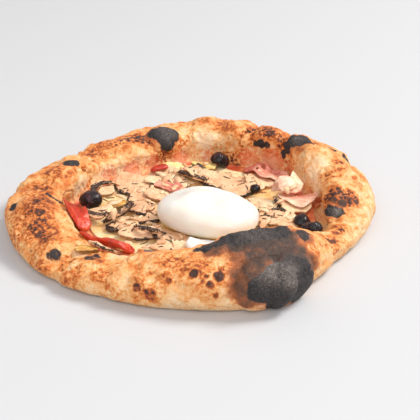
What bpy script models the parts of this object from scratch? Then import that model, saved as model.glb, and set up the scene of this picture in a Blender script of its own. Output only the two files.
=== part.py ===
"""A wood-fired pizza with a puffy rim, laid with sliced mushrooms, ham, artichoke, tomato,
black olives and one whole ball of burrata.

Lengths are in millimetres until a mesh is made. X runs to the right, Y away from the side
that faces the viewer, and Z up from the flat underside.
"""

import math
from typing import NamedTuple

import bpy
import numpy as np
from mathutils import Vector, noise

MM = 0.001
GAP = 0.3  # clear space between a topping and what it lies on

# The rim
RIM_SEGMENTS = 104
RIM_BULGE = 9.0  # how far the side swells past the line where it meets the table
BELLY_SHARE = 0.42  # height of the widest point, as a share of the crest's height
FULLNESS = 0.86  # under 1 makes the rim's section fuller than an ellipse
WALL_SHARE = 0.5  # height where the inner wall turns into the hollow at its foot
FOOT_WIDTH = 9.0  # width of that hollow
FLOOR_HEIGHT = 4.5  # thickness of the baked base under the toppings
FLOOR_SWELL = 0.7
CREASE_DEPTH = 1.3
RIM_SHARES = (0.3, 0.65, 0.95)  # rings under the base, as shares of the foot's radius
FLOOR_SHARES = (0.82, 0.6, 0.36, 0.14)  # rings over the base, as shares of the hollow's radius

# The layers on the base
SAUCE_THICKNESS = 1.2
SAUCE_DROP = 5.0  # how far the sauce's edge stays in from the inner wall
SAUCE_SPREAD = 3.0  # how uneven that edge is
CHEESE_THICKNESS = 1.8
CHEESE_RADIUS = 96.0
CHEESE_DROP = 6.0  # least distance of the cheese's edge from the inner wall
SAUCE_SEGMENTS = 48
CHEESE_SEGMENTS = 40
LAYER_BLUR = 3.0
LAYER_CLIMB = 13.0  # greatest height to which a layer runs up the inner wall
# Share of the radius and of the thickness, from the middle below round the edge to the top
LAYER_SECTION = (
    (0.4, 0.0),
    (0.75, 0.0),
    (0.9, 0.0),
    (0.98, 0.0),
    (1.0, 0.5),
    (0.98, 1.0),
    (0.9, 1.0),
    (0.75, 1.0),
    (0.4, 1.0),
)

# The ball of burrata
BURRATA_LENGTH = 86.0
BURRATA_DEPTH = 63.0
BURRATA_HEIGHT = 33.0
BURRATA_FULLNESS = 0.9  # under 1 makes it fuller than an egg


class Station(NamedTuple):
    """The rim's measures at one place round the pizza."""

    foot: float  # radius where the side meets the table
    crest: float  # radius of the highest line
    height: float  # height of that line
    inner: float  # radius of the inner wall's foot


# Sixteen places, evenly spaced from the right (+X) anticlockwise
STATIONS = (
    Station(146, 128, 35, 112),
    Station(143, 130, 42, 108),
    Station(133, 121, 41, 111),
    Station(134, 121, 40, 103),
    Station(136, 121, 36, 98),
    Station(125, 111, 33, 87),
    Station(123, 110, 30, 88),
    Station(129, 112, 29, 97),
    Station(143, 124, 30, 108),
    Station(145, 126, 29, 105),
    Station(142, 125, 19, 106),
    Station(136, 117, 26, 97),
    Station(136, 121, 34, 95),
    Station(140, 117, 45, 92),
    Station(131, 114, 36, 98),
    Station(131, 121, 21, 110),
)


class Bubble(NamedTuple):
    """A blister or swelling in the rim, or a dent where the height is negative."""

    angle: float  # degrees from +X
    place: float  # 0 foot, 1 belly, 2 crest, 3 inner wall, 4 floor
    radius: float
    height: float
    edge: float  # low for a dome with a clear edge, high for a soft swell


BUBBLES = (
    Bubble(-69, 1.05, 22, 7, 0.6),
    Bubble(-59, 1.0, 23, 8, 0.6),
    Bubble(-48, 1.9, 17, 3, 1.5),
    Bubble(106, 2.35, 17, 7, 0.9),
    Bubble(54, 2.4, 17, 5, 1.2),
    Bubble(38, 2.1, 16, 4, 1.0),
    Bubble(171, 2.5, 21, 6, 1.0),
    Bubble(158, 2.0, 14, 4, 1.0),
    Bubble(84, 2.0, 15, 3, 1.3),
    Bubble(69, 2.3, 16, 4, 1.2),
    Bubble(128, 2.2, 20, 3, 1.4),
    Bubble(25, 2.3, 18, 4, 1.2),
    Bubble(-3, 2.3, 17, 5, 1.0),
    Bubble(-22, 1.8, 20, 2, 1.4),
    Bubble(-21, 2.9, 21, -8, 1.0),
    Bubble(-120, 2.2, 20, -5, 1.2),
    Bubble(-140, 1.8, 16, 4, 1.2),
    Bubble(-161, 1.9, 20, 4, 1.3),
    Bubble(-100, 2.0, 20, 3, 1.4),
    Bubble(-84, 1.2, 26, 2, 1.6),
)


class Groove(NamedTuple):
    """A crease that runs across the rim from side to side."""

    angle: float
    width: float  # degrees
    depth: float


GROOVES = (
    Groove(-179, 3.0, 4.0),
    Groove(146, 4.0, 2.5),
    Groove(61, 3.0, 3.5),
    Groove(45, 3.0, 4.0),
    Groove(17, 3.5, 3.5),
    Groove(-33, 4.5, 2.5),
    Groove(-133, 3.0, 4.0),
    Groove(-117, 3.0, 2.0),
    Groove(95, 4.0, 2.0),
)


def between(low: float, high: float, share: float) -> float:
    return low + (high - low) * share


def station_at(turn: float) -> Station:
    """The rim's measures at a turn in radians, by a smooth curve through the stations."""
    count = len(STATIONS)
    place = turn / math.tau * count
    first = math.floor(place)
    u = place - first
    before, start, end, after = (STATIONS[(first + k) % count] for k in (-1, 0, 1, 2))
    values = []
    for a, b, c, d in zip(before, start, end, after):
        slope_in = (c - a) / 2
        slope_out = (d - b) / 2
        values.append(
            b
            + slope_in * u
            + (3 * (c - b) - 2 * slope_in - slope_out) * u**2
            + (2 * (b - c) + slope_in + slope_out) * u**3
        )
    return Station(*values)


def turn_apart(a: float, b: float) -> float:
    """The smaller angle between two directions, in degrees."""
    return abs((a - b + 180) % 360 - 180)


def wobble(x: float, y: float, size: float, seed: float) -> float:
    """Smooth noise from about -1 to 1, with hills about as wide as size."""
    return noise.noise(Vector((x / size + seed, y / size - seed, seed * 1.7)))


def rim_section(station: Station, place: float) -> tuple[float, float]:
    """Radius and height of the rim's skin, from the foot (0) over the crest (2) to the floor (4)."""
    outer = station.foot + RIM_BULGE
    belly = station.height * BELLY_SHARE
    wall = between(FLOOR_HEIGHT, station.height, WALL_SHARE)
    turn = (place % 1 if place < 4 else 1) * math.pi / 2
    if place < 1:
        return between(station.foot, outer, math.sin(turn)), belly * (1 - math.cos(turn))
    if place < 2:
        return (
            between(station.crest, outer, math.cos(turn) ** FULLNESS),
            between(belly, station.height, math.sin(turn) ** FULLNESS),
        )
    if place < 3:
        return (
            between(station.crest, station.inner, math.sin(turn) ** FULLNESS),
            between(wall, station.height, math.cos(turn) ** FULLNESS),
        )
    return (
        station.inner - FOOT_WIDTH * (1 - math.cos(turn)),
        between(wall, FLOOR_HEIGHT, math.sin(turn)),
    )


def rim_rings(places: np.ndarray, segments: int) -> np.ndarray:
    """Points of the rim's skin, one ring for each place, with its bubbles and creases."""
    turns = np.arange(segments) * math.tau / segments
    flat = np.array([[rim_section(station_at(t), p) for t in turns] for p in places])
    radius, height = flat[..., 0], flat[..., 1]
    rings = np.stack([radius * np.cos(turns), radius * np.sin(turns), height], -1)
    along = np.roll(rings, -1, 1) - np.roll(rings, 1, 1)
    across = np.gradient(rings, axis=0)
    outward = np.cross(along, across)
    outward /= np.linalg.norm(outward, axis=-1, keepdims=True)
    push = np.zeros(radius.shape)
    for bubble in BUBBLES:
        turn = math.radians(bubble.angle)
        at_radius, at_height = rim_section(station_at(turn), bubble.place)
        centre = (at_radius * math.cos(turn), at_radius * math.sin(turn), at_height)
        away = np.linalg.norm(rings - np.array(centre), axis=-1) / bubble.radius
        push += bubble.height * np.clip(1 - away**2, 0, 1) ** bubble.edge
    on_rim = np.clip(places, 0, 1) * np.clip((4 - places) / 1.5, 0, 1)
    for groove in GROOVES:
        apart = turn_apart(np.degrees(turns), groove.angle) / groove.width
        push -= groove.depth * np.exp(-(apart**2)) * on_rim[:, None]
    for index in np.ndindex(push.shape):
        x, y, z = rings[index]
        rough = wobble(x, y, 17, 3.1 + z / 23) + 0.5 * wobble(x, y, 8, 7.7 + z / 11)
        push[index] += CREASE_DEPTH * rough * on_rim[index[0]]
    rings += outward * push[..., None]
    rings[..., 2] = np.maximum(rings[..., 2], 0.0)
    return rings


def shell(rings: np.ndarray) -> tuple[np.ndarray, np.ndarray]:
    """A closed skin through the rings, drawn to a point at the first and last one's middle."""
    count, segments = rings.shape[:2]
    points = np.concatenate([[rings[0].mean(0)], rings.reshape(-1, 3), [rings[-1].mean(0)]])
    triangles = []
    for k in range(segments):
        following = (k + 1) % segments
        triangles.append((0, 1 + following, 1 + k))
        for ring in range(count - 1):
            low = 1 + ring * segments
            high = low + segments
            triangles.append((low + k, low + following, high + following))
            triangles.append((low + k, high + following, high + k))
        top = 1 + (count - 1) * segments
        triangles.append((top + k, top + following, len(points) - 1))
    triangles = np.array(triangles)
    corners = points[triangles] - points.mean(0)
    if np.linalg.det(corners).sum() < 0:
        triangles = triangles[:, ::-1]
    return points, triangles


class Surface:
    """The height of what is already on the pizza, on a square grid one millimetre apart."""

    reach = 165

    def __init__(self) -> None:
        side = 2 * self.reach + 1
        self.height = np.zeros((side, side))

    def drawn(self, points: np.ndarray, triangles: np.ndarray, upper: bool) -> np.ndarray:
        """The upper or lower face of a skin over the grid, infinite where it doesn't reach."""
        worst = -np.inf if upper else np.inf
        pick = np.maximum if upper else np.minimum
        found = np.full(self.height.shape, worst)
        for a, b, c in points[triangles]:
            area = (b[0] - a[0]) * (c[1] - a[1]) - (b[1] - a[1]) * (c[0] - a[0])
            if abs(area) < 1e-9:
                continue
            low = np.ceil(np.minimum(np.minimum(a, b), c)[:2]).astype(int)
            high = np.floor(np.maximum(np.maximum(a, b), c)[:2]).astype(int)
            if (low > high).any():
                continue
            x, y = np.meshgrid(
                np.arange(low[0], high[0] + 1), np.arange(low[1], high[1] + 1), indexing="ij"
            )
            to_b = ((x - a[0]) * (c[1] - a[1]) - (y - a[1]) * (c[0] - a[0])) / area
            to_c = ((b[0] - a[0]) * (y - a[1]) - (b[1] - a[1]) * (x - a[0])) / area
            inside = (to_b >= 0) & (to_c >= 0) & (to_b + to_c <= 1)
            z = np.where(inside, a[2] + to_b * (b[2] - a[2]) + to_c * (c[2] - a[2]), worst)
            box = (
                slice(low[0] + self.reach, high[0] + self.reach + 1),
                slice(low[1] + self.reach, high[1] + self.reach + 1),
            )
            found[box] = pick(found[box], z)
        return found

    def add(self, points: np.ndarray, triangles: np.ndarray) -> None:
        self.height = np.maximum(self.height, self.drawn(points, triangles, upper=True))

    def widened(self) -> np.ndarray:
        """The height with each hill a millimetre wider, so that a topping clears it."""
        wide = self.height.copy()
        for dx in (-1, 0, 1):
            for dy in (-1, 0, 1):
                wide = np.maximum(wide, np.roll(self.height, (dx, dy), (0, 1)))
        return wide

    def smooth(self, blur: float) -> np.ndarray:
        """The height with everything narrower than blur evened out."""
        steps = np.arange(-int(2.5 * blur), int(2.5 * blur) + 1)
        weight = np.exp(-((steps / blur) ** 2) / 2)
        weight /= weight.sum()
        even = self.height
        for axis in (0, 1):
            even = sum(w * np.roll(even, s, axis) for w, s in zip(weight, steps))
        return even

    def sample(self, grid: np.ndarray, x: np.ndarray, y: np.ndarray) -> np.ndarray:
        """The grid's value at any point, in straight lines between its own."""
        column, row = x + self.reach, y + self.reach
        i, j = np.floor(column).astype(int), np.floor(row).astype(int)
        u, v = column - i, row - j
        return (
            grid[i, j] * (1 - u) * (1 - v)
            + grid[i + 1, j] * u * (1 - v)
            + grid[i, j + 1] * (1 - u) * v
            + grid[i + 1, j + 1] * u * v
        )


MOST_SPRING = 1.0  # how far a slice is held up by a hump before it bends over it
BEND_STEPS = 8
BEND_REACH = 5  # millimetres round a hump that bend with it
MOST_PRESSED = 1.5  # how far a plump topping gives way to a wall beside it


def clear_of(surface: Surface, laid: np.ndarray) -> np.ndarray:
    """Bends a topping up wherever its flat facets would cut into what it lies on."""
    wide = surface.widened()
    laid = laid.copy()
    for step in range(BEND_STEPS):
        points, triangles = shell(laid)
        lower = surface.drawn(points, triangles, upper=False)
        short = np.where(np.isfinite(lower), wide + GAP - lower, 0.0)
        if short.max() <= 0:
            return laid
        if step == BEND_STEPS - 1:
            laid[..., 2] += short.max()
            return laid
        spread = np.maximum(short, 0)
        for axis in (0, 1):
            shifts = range(-BEND_REACH, BEND_REACH + 1)
            spread = np.max([np.roll(spread, shift, axis) for shift in shifts], 0)
        laid[..., 2] += surface.sample(spread, laid[..., 0], laid[..., 1])
    return laid


def settle(surface: Surface, rings: np.ndarray, blur: float, spring: float) -> np.ndarray:
    """Lays a topping on the surface. Its rings have their height above its own underside.

    It follows the surface with what is narrower than blur evened out, is held up by humps as
    far as spring, and bends over the highest of them.
    """
    x, y, above = rings[..., 0], rings[..., 1], rings[..., 2]
    wide = surface.sample(surface.widened(), x, y) + GAP
    base = surface.sample(surface.smooth(blur), x, y)
    need = wide - base
    base = base + min(need.max(), need.mean() + spring)
    return clear_of(surface, np.stack([x, y, np.maximum(base, wide) + above], -1))


def set_down(surface: Surface, rings: np.ndarray, sunk: float) -> np.ndarray:
    """Sets a plump topping down level, flattened below by sunk and where it meets its neighbours.

    A wall beside it carries it.
    """
    floor = rings[..., 2].min() + sunk
    middle = rings.reshape(-1, 3).mean(0)
    wide = surface.widened()
    x, y = rings[..., 0], rings[..., 1]
    under = surface.sample(wide, middle[:1], middle[1:2])[0] + GAP
    laid = rings.copy()
    laid[..., 2] = np.maximum(laid[..., 2], floor) - floor + under
    widest = middle[2] - floor + under
    need = surface.sample(wide, x, y) + GAP
    lift = max((need - laid[..., 2])[laid[..., 2] >= widest].max() - MOST_PRESSED, 0.0)
    laid[..., 2] += lift
    widest += lift
    pressed = (laid[..., 2] < need) & (laid[..., 2] < widest)
    laid[..., 2] = np.where(pressed, np.minimum(need, widest), laid[..., 2])
    return clear_of(surface, laid)


def oval(turn: np.ndarray, length: float, width: float, seed: float) -> np.ndarray:
    """Radius of an uneven oval in each direction."""
    plain = 1 / np.hypot(np.cos(turn) / (length / 2), np.sin(turn) / (width / 2))
    waves = np.array([wobble(math.cos(t), math.sin(t), 0.8, seed) for t in turn])
    return plain * (1 + 0.22 * waves)


def mushroom_cut(turn: np.ndarray, length: float, width: float, seed: float) -> np.ndarray:
    """Radius of a mushroom cut top to bottom: a round cap, notches at the gills and a short stem."""
    cap = oval(turn, length, width, seed)
    gills = np.where(np.sin(turn) < 0, width * 0.2 / np.maximum(-np.sin(turn), 1e-6), cap)
    stem_side = length * 0.17 / np.maximum(np.abs(np.cos(turn)), 1e-6)
    stem = np.where(np.sin(turn) < 0, np.minimum(stem_side, width * 0.55), 0)
    return np.maximum(np.minimum(cap, gills), stem)


class Slice(NamedTuple):
    """A flat topping: where its middle lies, its size and how far it is turned."""

    name: str
    x: float
    y: float
    length: float
    width: float
    turn: float  # degrees
    thickness: float
    blur: float  # how stiff it is
    kind: str = "oval"
    segments: int = 16


# Share of the radius and of the thickness, from the middle below round the edge to the top
SLICE_SECTION = ((0.55, 0.0), (0.96, 0.0), (1.0, 0.5), (0.94, 0.94), (0.55, 1.0))
SLICE_UNEVEN = 0.15


def slice_rings(item: Slice, seed: float) -> np.ndarray:
    """Rings of a flat topping, from the middle of its underside round the edge to the top."""
    turn = np.arange(item.segments) * math.tau / item.segments
    outline = mushroom_cut if item.kind == "mushroom" else oval
    radius = outline(turn, item.length, item.width, seed)
    facing = turn + math.radians(item.turn)
    rings = []
    for share, level in SLICE_SECTION:
        x = item.x + radius * share * np.cos(facing)
        y = item.y + radius * share * np.sin(facing)
        thin = [SLICE_UNEVEN * wobble(a, b, 9, seed + 5) for a, b in zip(x, y)]
        rings.append(np.stack([x, y, item.thickness * level * (1 + np.array(thin))], -1))
    return np.array(rings)


class Strip(NamedTuple):
    """A long topping along a curve through a few places, each (x, y, width)."""

    name: str
    path: tuple[tuple[float, float, float], ...]
    thickness: float
    blur: float
    lean: float = 0.0  # how much higher its left side stands than its right


STRIP_STEPS = 9
STRIP_SIDES = 8


def strip_rings(item: Strip) -> np.ndarray:
    """Rings of a long topping, one after another along its curve, with rounded ends."""
    path = np.array(item.path)
    share = np.linspace(0, 1, STRIP_STEPS)
    knots = np.linspace(0, 1, len(path))
    weights = np.array(
        [[np.prod([(s - k) / (m - k) for k in knots if k != m]) for m in knots] for s in share]
    )
    line = weights @ path
    ahead = np.gradient(line[:, :2], axis=0)
    ahead /= np.linalg.norm(ahead, axis=1, keepdims=True)
    left = np.stack([-ahead[:, 1], ahead[:, 0]], -1)
    rounding = np.sqrt(np.clip(1 - (2 * share - 1) ** 6, 0.16, 1))
    turn = (np.arange(STRIP_SIDES) + 0.5) * math.tau / STRIP_SIDES
    rings = []
    for middle, side, fill in zip(line, left, rounding):
        across = np.cos(turn) * middle[2] / 2 * fill
        up = item.thickness * (0.5 + 0.5 * np.sin(turn)) * fill
        up = up + item.lean * (0.5 + across / middle[2])
        flat = middle[:2] + across[:, None] * side
        rings.append(np.column_stack([flat, up]))
    return np.array(rings)


def full(values: np.ndarray, share: float) -> np.ndarray:
    """Sines or cosines moved away from 0, so that a round shape gets fuller where share is under 1."""
    return np.sign(values) * np.abs(values) ** share


def ball_rings(
    x: float,
    y: float,
    size: tuple[float, float, float],
    turn: float,
    seed: float,
    detail: int,
    fullness: float = 1.0,
) -> np.ndarray:
    """Rings of a slightly uneven ball or egg from its bottom to its top."""
    rings = []
    for k in range(1, detail):
        down = math.pi * k / detail
        around = np.arange(2 * detail) * math.tau / (2 * detail)
        uneven = 1 + 0.05 * np.array(
            [wobble(math.cos(a) + math.cos(down), math.sin(a), 0.9, seed) for a in around]
        )
        wide = full(math.sin(down), fullness) / 2 * uneven
        along = size[0] * wide * full(np.cos(around), fullness)
        across = size[1] * wide * full(np.sin(around), fullness)
        height = size[2] / 2 * (1 - full(math.cos(down), fullness))
        cosine, sine = math.cos(math.radians(turn)), math.sin(math.radians(turn))
        rings.append(
            np.stack(
                [
                    x + along * cosine - across * sine,
                    y + along * sine + across * cosine,
                    np.full(len(around), height),
                ],
                -1,
            )
        )
    return np.array(rings)


class Finish(NamedTuple):
    """A plain colour for one kind of food."""

    colour: tuple[float, float, float]
    roughness: float


FINISHES = {
    "crust": Finish((0.76, 0.43, 0.16), 0.75),
    "tomato": Finish((0.62, 0.07, 0.02), 0.35),
    "sauce": Finish((0.72, 0.19, 0.07), 0.5),
    "cheese": Finish((0.90, 0.72, 0.38), 0.4),
    "burrata": Finish((0.92, 0.89, 0.80), 0.35),
    "mushroom": Finish((0.80, 0.55, 0.36), 0.55),
    "ham": Finish((0.72, 0.33, 0.24), 0.45),
    "artichoke": Finish((0.60, 0.40, 0.14), 0.5),
    "olive": Finish((0.025, 0.012, 0.014), 0.22),
}


def material_for(kind: str) -> bpy.types.Material:
    """The finish's material, made on first use."""
    found = bpy.data.materials.get(kind)
    if found:
        return found
    finish = FINISHES[kind]
    made = bpy.data.materials.new(kind)
    made.use_nodes = True
    shader = made.node_tree.nodes["Principled BSDF"]
    shader.inputs["Base Color"].default_value = (*finish.colour, 1.0)
    shader.inputs["Roughness"].default_value = finish.roughness
    shader.inputs["Metallic"].default_value = 0.0
    return made


SHARP_ANGLE = math.radians(50)


class Pizza:
    """Builds the pieces one on another and makes an object of each."""

    def __init__(self) -> None:
        self.surface = Surface()
        self.shift = np.zeros(3)

    def make(self, name: str, kind: str, rings: np.ndarray) -> None:
        """Adds a piece to the scene, and to what later pieces lie on."""
        points, triangles = shell(rings)
        self.surface.add(points, triangles)
        mesh = bpy.data.meshes.new(name)
        mesh.from_pydata(((points + self.shift) * MM).tolist(), [], triangles.tolist())
        mesh.materials.append(material_for(kind))
        piece = bpy.data.objects.new(name, mesh)
        bpy.context.scene.collection.objects.link(piece)
        mesh.shade_smooth()
        mesh.set_sharp_from_angle(angle=SHARP_ANGLE)

    def crust(self) -> None:
        """The base and rim: flat below, round over the rim, hollow inside it."""
        steps = np.concatenate(
            [np.linspace(0, 1, 5)[1:], np.linspace(1, 2, 6)[1:], np.linspace(2, 3, 6)[1:]]
        )
        places = np.concatenate([[0.0], steps, np.linspace(3, 4, 5)[1:]])
        rim = rim_rings(places, RIM_SEGMENTS)
        under = [rim[0] * (share, share, 0) for share in RIM_SHARES]
        over = []
        for share in FLOOR_SHARES:
            ring = rim[-1] * (share, share, 1)
            swell = [FLOOR_SWELL * wobble(x, y, 30, 9.5) for x, y in ring[:, :2]]
            ring[:, 2] = FLOOR_HEIGHT + np.array(swell)
            over.append(ring)
        rings = np.array([*under, *rim, *over])
        widest = (rings.reshape(-1, 3).max(0) + rings.reshape(-1, 3).min(0)) / 2
        self.shift = np.array([-widest[0], -widest[1], 0.0])
        self.make("crust", "crust", rings)

    def layer(self, name: str, kind: str, radius: np.ndarray, thickness: float) -> None:
        """A thin poured or melted layer that lies close on what is under it."""
        segments = len(radius)
        turn = np.arange(segments) * math.tau / segments
        wide = self.surface.widened()
        while True:
            ground = self.surface.sample(wide, radius * np.cos(turn), radius * np.sin(turn))
            if ground.max() <= LAYER_CLIMB:
                break
            radius = radius - (ground > LAYER_CLIMB)
        rings = []
        for share, level in LAYER_SECTION:
            x, y = radius * share * np.cos(turn), radius * share * np.sin(turn)
            rings.append(np.stack([x, y, np.full(segments, thickness * level)], -1))
        self.make(name, kind, settle(self.surface, np.array(rings), LAYER_BLUR, 0.0))

    def sauce(self) -> None:
        turn = np.arange(SAUCE_SEGMENTS) * math.tau / SAUCE_SEGMENTS
        inner = np.array([station_at(t).inner for t in turn])
        waves = np.array([wobble(math.cos(t), math.sin(t), 0.4, 2.2) for t in turn])
        edge = inner - SAUCE_DROP + SAUCE_SPREAD * waves
        self.layer("tomato_sauce", "sauce", edge, SAUCE_THICKNESS)

    def cheese(self) -> None:
        turn = np.arange(CHEESE_SEGMENTS) * math.tau / CHEESE_SEGMENTS
        inner = np.array([station_at(t).inner for t in turn])
        waves = np.array([wobble(math.cos(t), math.sin(t), 0.35, 6.4) for t in turn])
        radius = np.minimum(CHEESE_RADIUS, inner - CHEESE_DROP) * (0.94 + 0.12 * waves)
        self.layer("melted_cheese", "cheese", radius, CHEESE_THICKNESS)

    def slices(self, items: tuple[Slice, ...], kind: str) -> None:
        for index, item in enumerate(items):
            rings = slice_rings(item, 1.3 * index + len(kind))
            self.make(item.name, kind, settle(self.surface, rings, item.blur, MOST_SPRING))

    def strips(self, items: tuple[Strip, ...], kind: str) -> None:
        for item in items:
            rings = strip_rings(item)
            self.make(item.name, kind, settle(self.surface, rings, item.blur, MOST_SPRING))

    def olive(self, name: str, x: float, y: float, size: float, turn: float) -> None:
        seed = x / 10 + y / 7
        rings = ball_rings(x, y, (size * 1.12, size, size * 0.86), turn, seed, 7)
        self.make(name, "olive", set_down(self.surface, rings, size * 0.1))

    def burrata(self, x: float, y: float, turn: float) -> None:
        size = (BURRATA_LENGTH, BURRATA_DEPTH, BURRATA_HEIGHT)
        rings = ball_rings(x, y, size, turn, 4.2, 11, BURRATA_FULLNESS)
        laid = set_down(self.surface, rings, BURRATA_HEIGHT * 0.12)
        self.make("burrata", "burrata", laid)


MUSHROOMS = (
    Slice("mushroom_01", -53, 39, 38, 33, 84, 3.0, 9),
    Slice("mushroom_02", -43, 12, 29, 23, 70, 2.8, 9),
    Slice("mushroom_03", -74, 25, 18, 14, 60, 2.7, 7),
    Slice("mushroom_04", -26, 57, 28, 24, 20, 2.8, 9),
    Slice("mushroom_05", -25, 16, 30, 23, 10, 2.8, 9),
    Slice("mushroom_06", -12, 41, 24, 19, 75, 2.7, 9),
    Slice("mushroom_07", 2, 60, 24, 15, 30, 3.0, 8),
    Slice("mushroom_08", 28, 47, 47, 33, -15, 3.1, 12),
    Slice("mushroom_09", 60, 48, 38, 27, 80, 2.8, 9, "mushroom"),
    Slice("mushroom_10", 60, 7, 34, 23, -20, 2.8, 9),
    Slice("mushroom_11", 86, 6, 38, 29, -25, 2.8, 9, "mushroom"),
    Slice("mushroom_12", 73, -20, 36, 25, -18, 2.8, 9),
    Slice("mushroom_13", 58, -26, 26, 14, 80, 2.7, 7),
    Slice("mushroom_14", -76, -14, 23, 13, 15, 2.7, 8),
    Slice("mushroom_15", -37, -19, 27, 23, 60, 2.7, 8, "mushroom"),
    Slice("mushroom_16", -56, -38, 30, 24, 20, 2.7, 7, "mushroom"),
    Slice("mushroom_17", -40, -50, 34, 16, 8, 2.7, 8),
    Slice("mushroom_18", -16, -54, 38, 18, -8, 2.7, 8),
    Slice("mushroom_19", -65, -81, 26, 12, 4, 3.0, 6),
    Slice("mushroom_20", 40, 29, 30, 20, -20, 2.7, 9),
    Slice("mushroom_21", -30, 41, 26, 15, 0, 3.0, 8),
    Slice("mushroom_22", -43, -10, 28, 20, 10, 2.7, 8, "mushroom"),
    Slice("mushroom_28", -14, -69, 34, 13, 4, 2.7, 8),
)

# Slices that stand on their edge, so that the dark gills show
MUSHROOM_EDGES = (
    Strip("mushroom_23", ((-71, -33, 5), (-59, -23, 6), (-49, -9, 5)), 6, 9),
    Strip("mushroom_24", ((-84, 12, 7), (-82, 30, 7), (-63, 33, 6)), 3.6, 9),
    Strip("mushroom_25", ((-15, 52, 5), (3, 45, 5), (13, 40, 5)), 5, 9),
    Strip("mushroom_26", ((-45, -48, 5), (-33, -54, 5), (-19, -58, 4)), 5, 9),
    Strip("mushroom_27", ((-88, -18, 6), (-79, -26, 9), (-66, -31, 5)), 4.5, 9),
)

HAM = (
    Slice("ham_01", -19, 28, 30, 18, -18, 1.8, 7),
    Slice("ham_02", 66, 63, 52, 26, -40, 1.8, 7, "oval", 20),
    Slice("ham_03", 90, 12, 38, 26, -30, 1.8, 6, "oval", 20),
)
HAM_CURL = Strip("ham_04", ((68, 18, 10), (88, 21, 15), (90, 45, 8)), 5, 9, 15.0)

ARTICHOKES = (
    Slice("artichoke_01", -64, -1, 22, 13, 25, 4.0, 8),
    Slice("artichoke_02", -13, 70, 34, 18, -8, 3.6, 8),
    Slice("artichoke_03", 11, 75, 26, 16, 15, 3.6, 8),
    Slice("artichoke_04", -79, -87, 20, 10, 25, 3.0, 7),
)

TOMATOES = (
    Strip("tomato_01", ((-103, -9, 9), (-95, -27, 19), (-86, -46, 20)), 8, 9),
    Strip("tomato_02", ((-86, -64, 9), (-64, -74, 11), (-43, -78, 19)), 8, 9),
    Strip("tomato_03", ((-38, 55, 9), (-30, 58, 10), (-22, 61, 8)), 5, 9),
)

MOZZARELLA = Slice("mozzarella", 10, -69, 30, 17, 10, 5.0, 8)
BURRATA_PLACE = (13, -30, -16)  # x, y and turn

# Name, place, size and turn
OLIVES = (
    ("olive_01", -85, 1, 18.0, 10.0),
    ("olive_02", 25, 83, 17.0, 30.0),
    ("olive_03", 92, -24, 15.0, 60.0),
    ("olive_04", 97, -46, 17.0, -20.0),
    ("olive_05", 55, 24, 9.0, 0.0),
)

PIZZA = Pizza()


def clear_scene() -> None:
    for thing in list(bpy.data.objects):
        bpy.data.objects.remove(thing, do_unlink=True)


def main() -> None:
    clear_scene()
    PIZZA.crust()
    PIZZA.sauce()
    PIZZA.cheese()
    PIZZA.slices(ARTICHOKES, "artichoke")
    PIZZA.slices(MUSHROOMS, "mushroom")
    PIZZA.strips(MUSHROOM_EDGES, "mushroom")
    PIZZA.slices(HAM, "ham")
    PIZZA.strips((HAM_CURL,), "ham")
    PIZZA.strips(TOMATOES, "tomato")
    PIZZA.slices((MOZZARELLA,), "burrata")
    PIZZA.burrata(*BURRATA_PLACE)
    for olive in OLIVES:
        PIZZA.olive(*olive)


main()
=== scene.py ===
"""Looks of a wood-fired pizza with a puffy charred rim, mushrooms, ham, artichoke, tomato, black
olives and a ball of burrata. Lengths are in millimetres until a mesh is made."""

import logging
import math
from dataclasses import dataclass
from enum import Enum
from typing import NamedTuple

import bmesh
import bpy
import numpy as np
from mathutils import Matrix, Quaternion, Vector, noise
from mathutils.bvhtree import BVHTree


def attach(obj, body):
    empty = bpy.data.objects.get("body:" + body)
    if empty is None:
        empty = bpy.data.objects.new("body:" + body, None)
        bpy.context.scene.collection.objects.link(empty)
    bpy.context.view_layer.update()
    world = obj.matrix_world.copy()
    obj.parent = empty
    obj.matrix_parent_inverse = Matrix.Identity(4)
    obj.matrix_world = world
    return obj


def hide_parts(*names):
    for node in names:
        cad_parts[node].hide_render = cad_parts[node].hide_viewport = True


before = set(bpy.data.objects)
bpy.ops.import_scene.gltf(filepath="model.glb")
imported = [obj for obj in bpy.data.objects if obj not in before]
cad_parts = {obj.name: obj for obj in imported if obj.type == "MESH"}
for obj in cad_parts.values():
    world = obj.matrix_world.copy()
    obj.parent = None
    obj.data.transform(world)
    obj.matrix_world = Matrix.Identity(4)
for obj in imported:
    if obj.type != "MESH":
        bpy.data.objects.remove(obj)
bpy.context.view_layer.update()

LOG = logging.getLogger("pizza")
MM = 0.001
BODY = "root"


class Slot(Enum):
    """The kinds of food whose finish a piece takes."""

    CRUST = "crust"
    SAUCE = "tomato_sauce"
    TOMATO = "tomato"
    CHEESE = "melted_cheese"
    BURRATA = "burrata"
    MUSHROOM = "mushroom"
    HAM = "ham"
    ARTICHOKE = "artichoke"
    OLIVE = "olive"


# numbers and noise


def tone(red: int, green: int, blue: int) -> tuple[float, float, float, float]:
    """A colour for a shader.

    Args:
        red: Red as a screen shows it, 0 to 255.
        green: Green, the same way.
        blue: Blue, the same way.

    Returns:
        The linear colour with full opacity.
    """
    parts = [c / 255 for c in (red, green, blue)]
    linear = [c / 12.92 if c <= 0.04045 else ((c + 0.055) / 1.055) ** 2.4 for c in parts]
    return (*linear, 1.0)


def soft_step(values: np.ndarray, low: float, high: float) -> np.ndarray:
    """A smooth step.

    Args:
        values: Any numbers.
        low: Where the step starts.
        high: Where it ends, above or below low.

    Returns:
        0 before low, 1 past high and a smooth rise between.
    """
    share = np.clip((values - low) / (high - low), 0, 1)
    return share * share * (3 - 2 * share)


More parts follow.
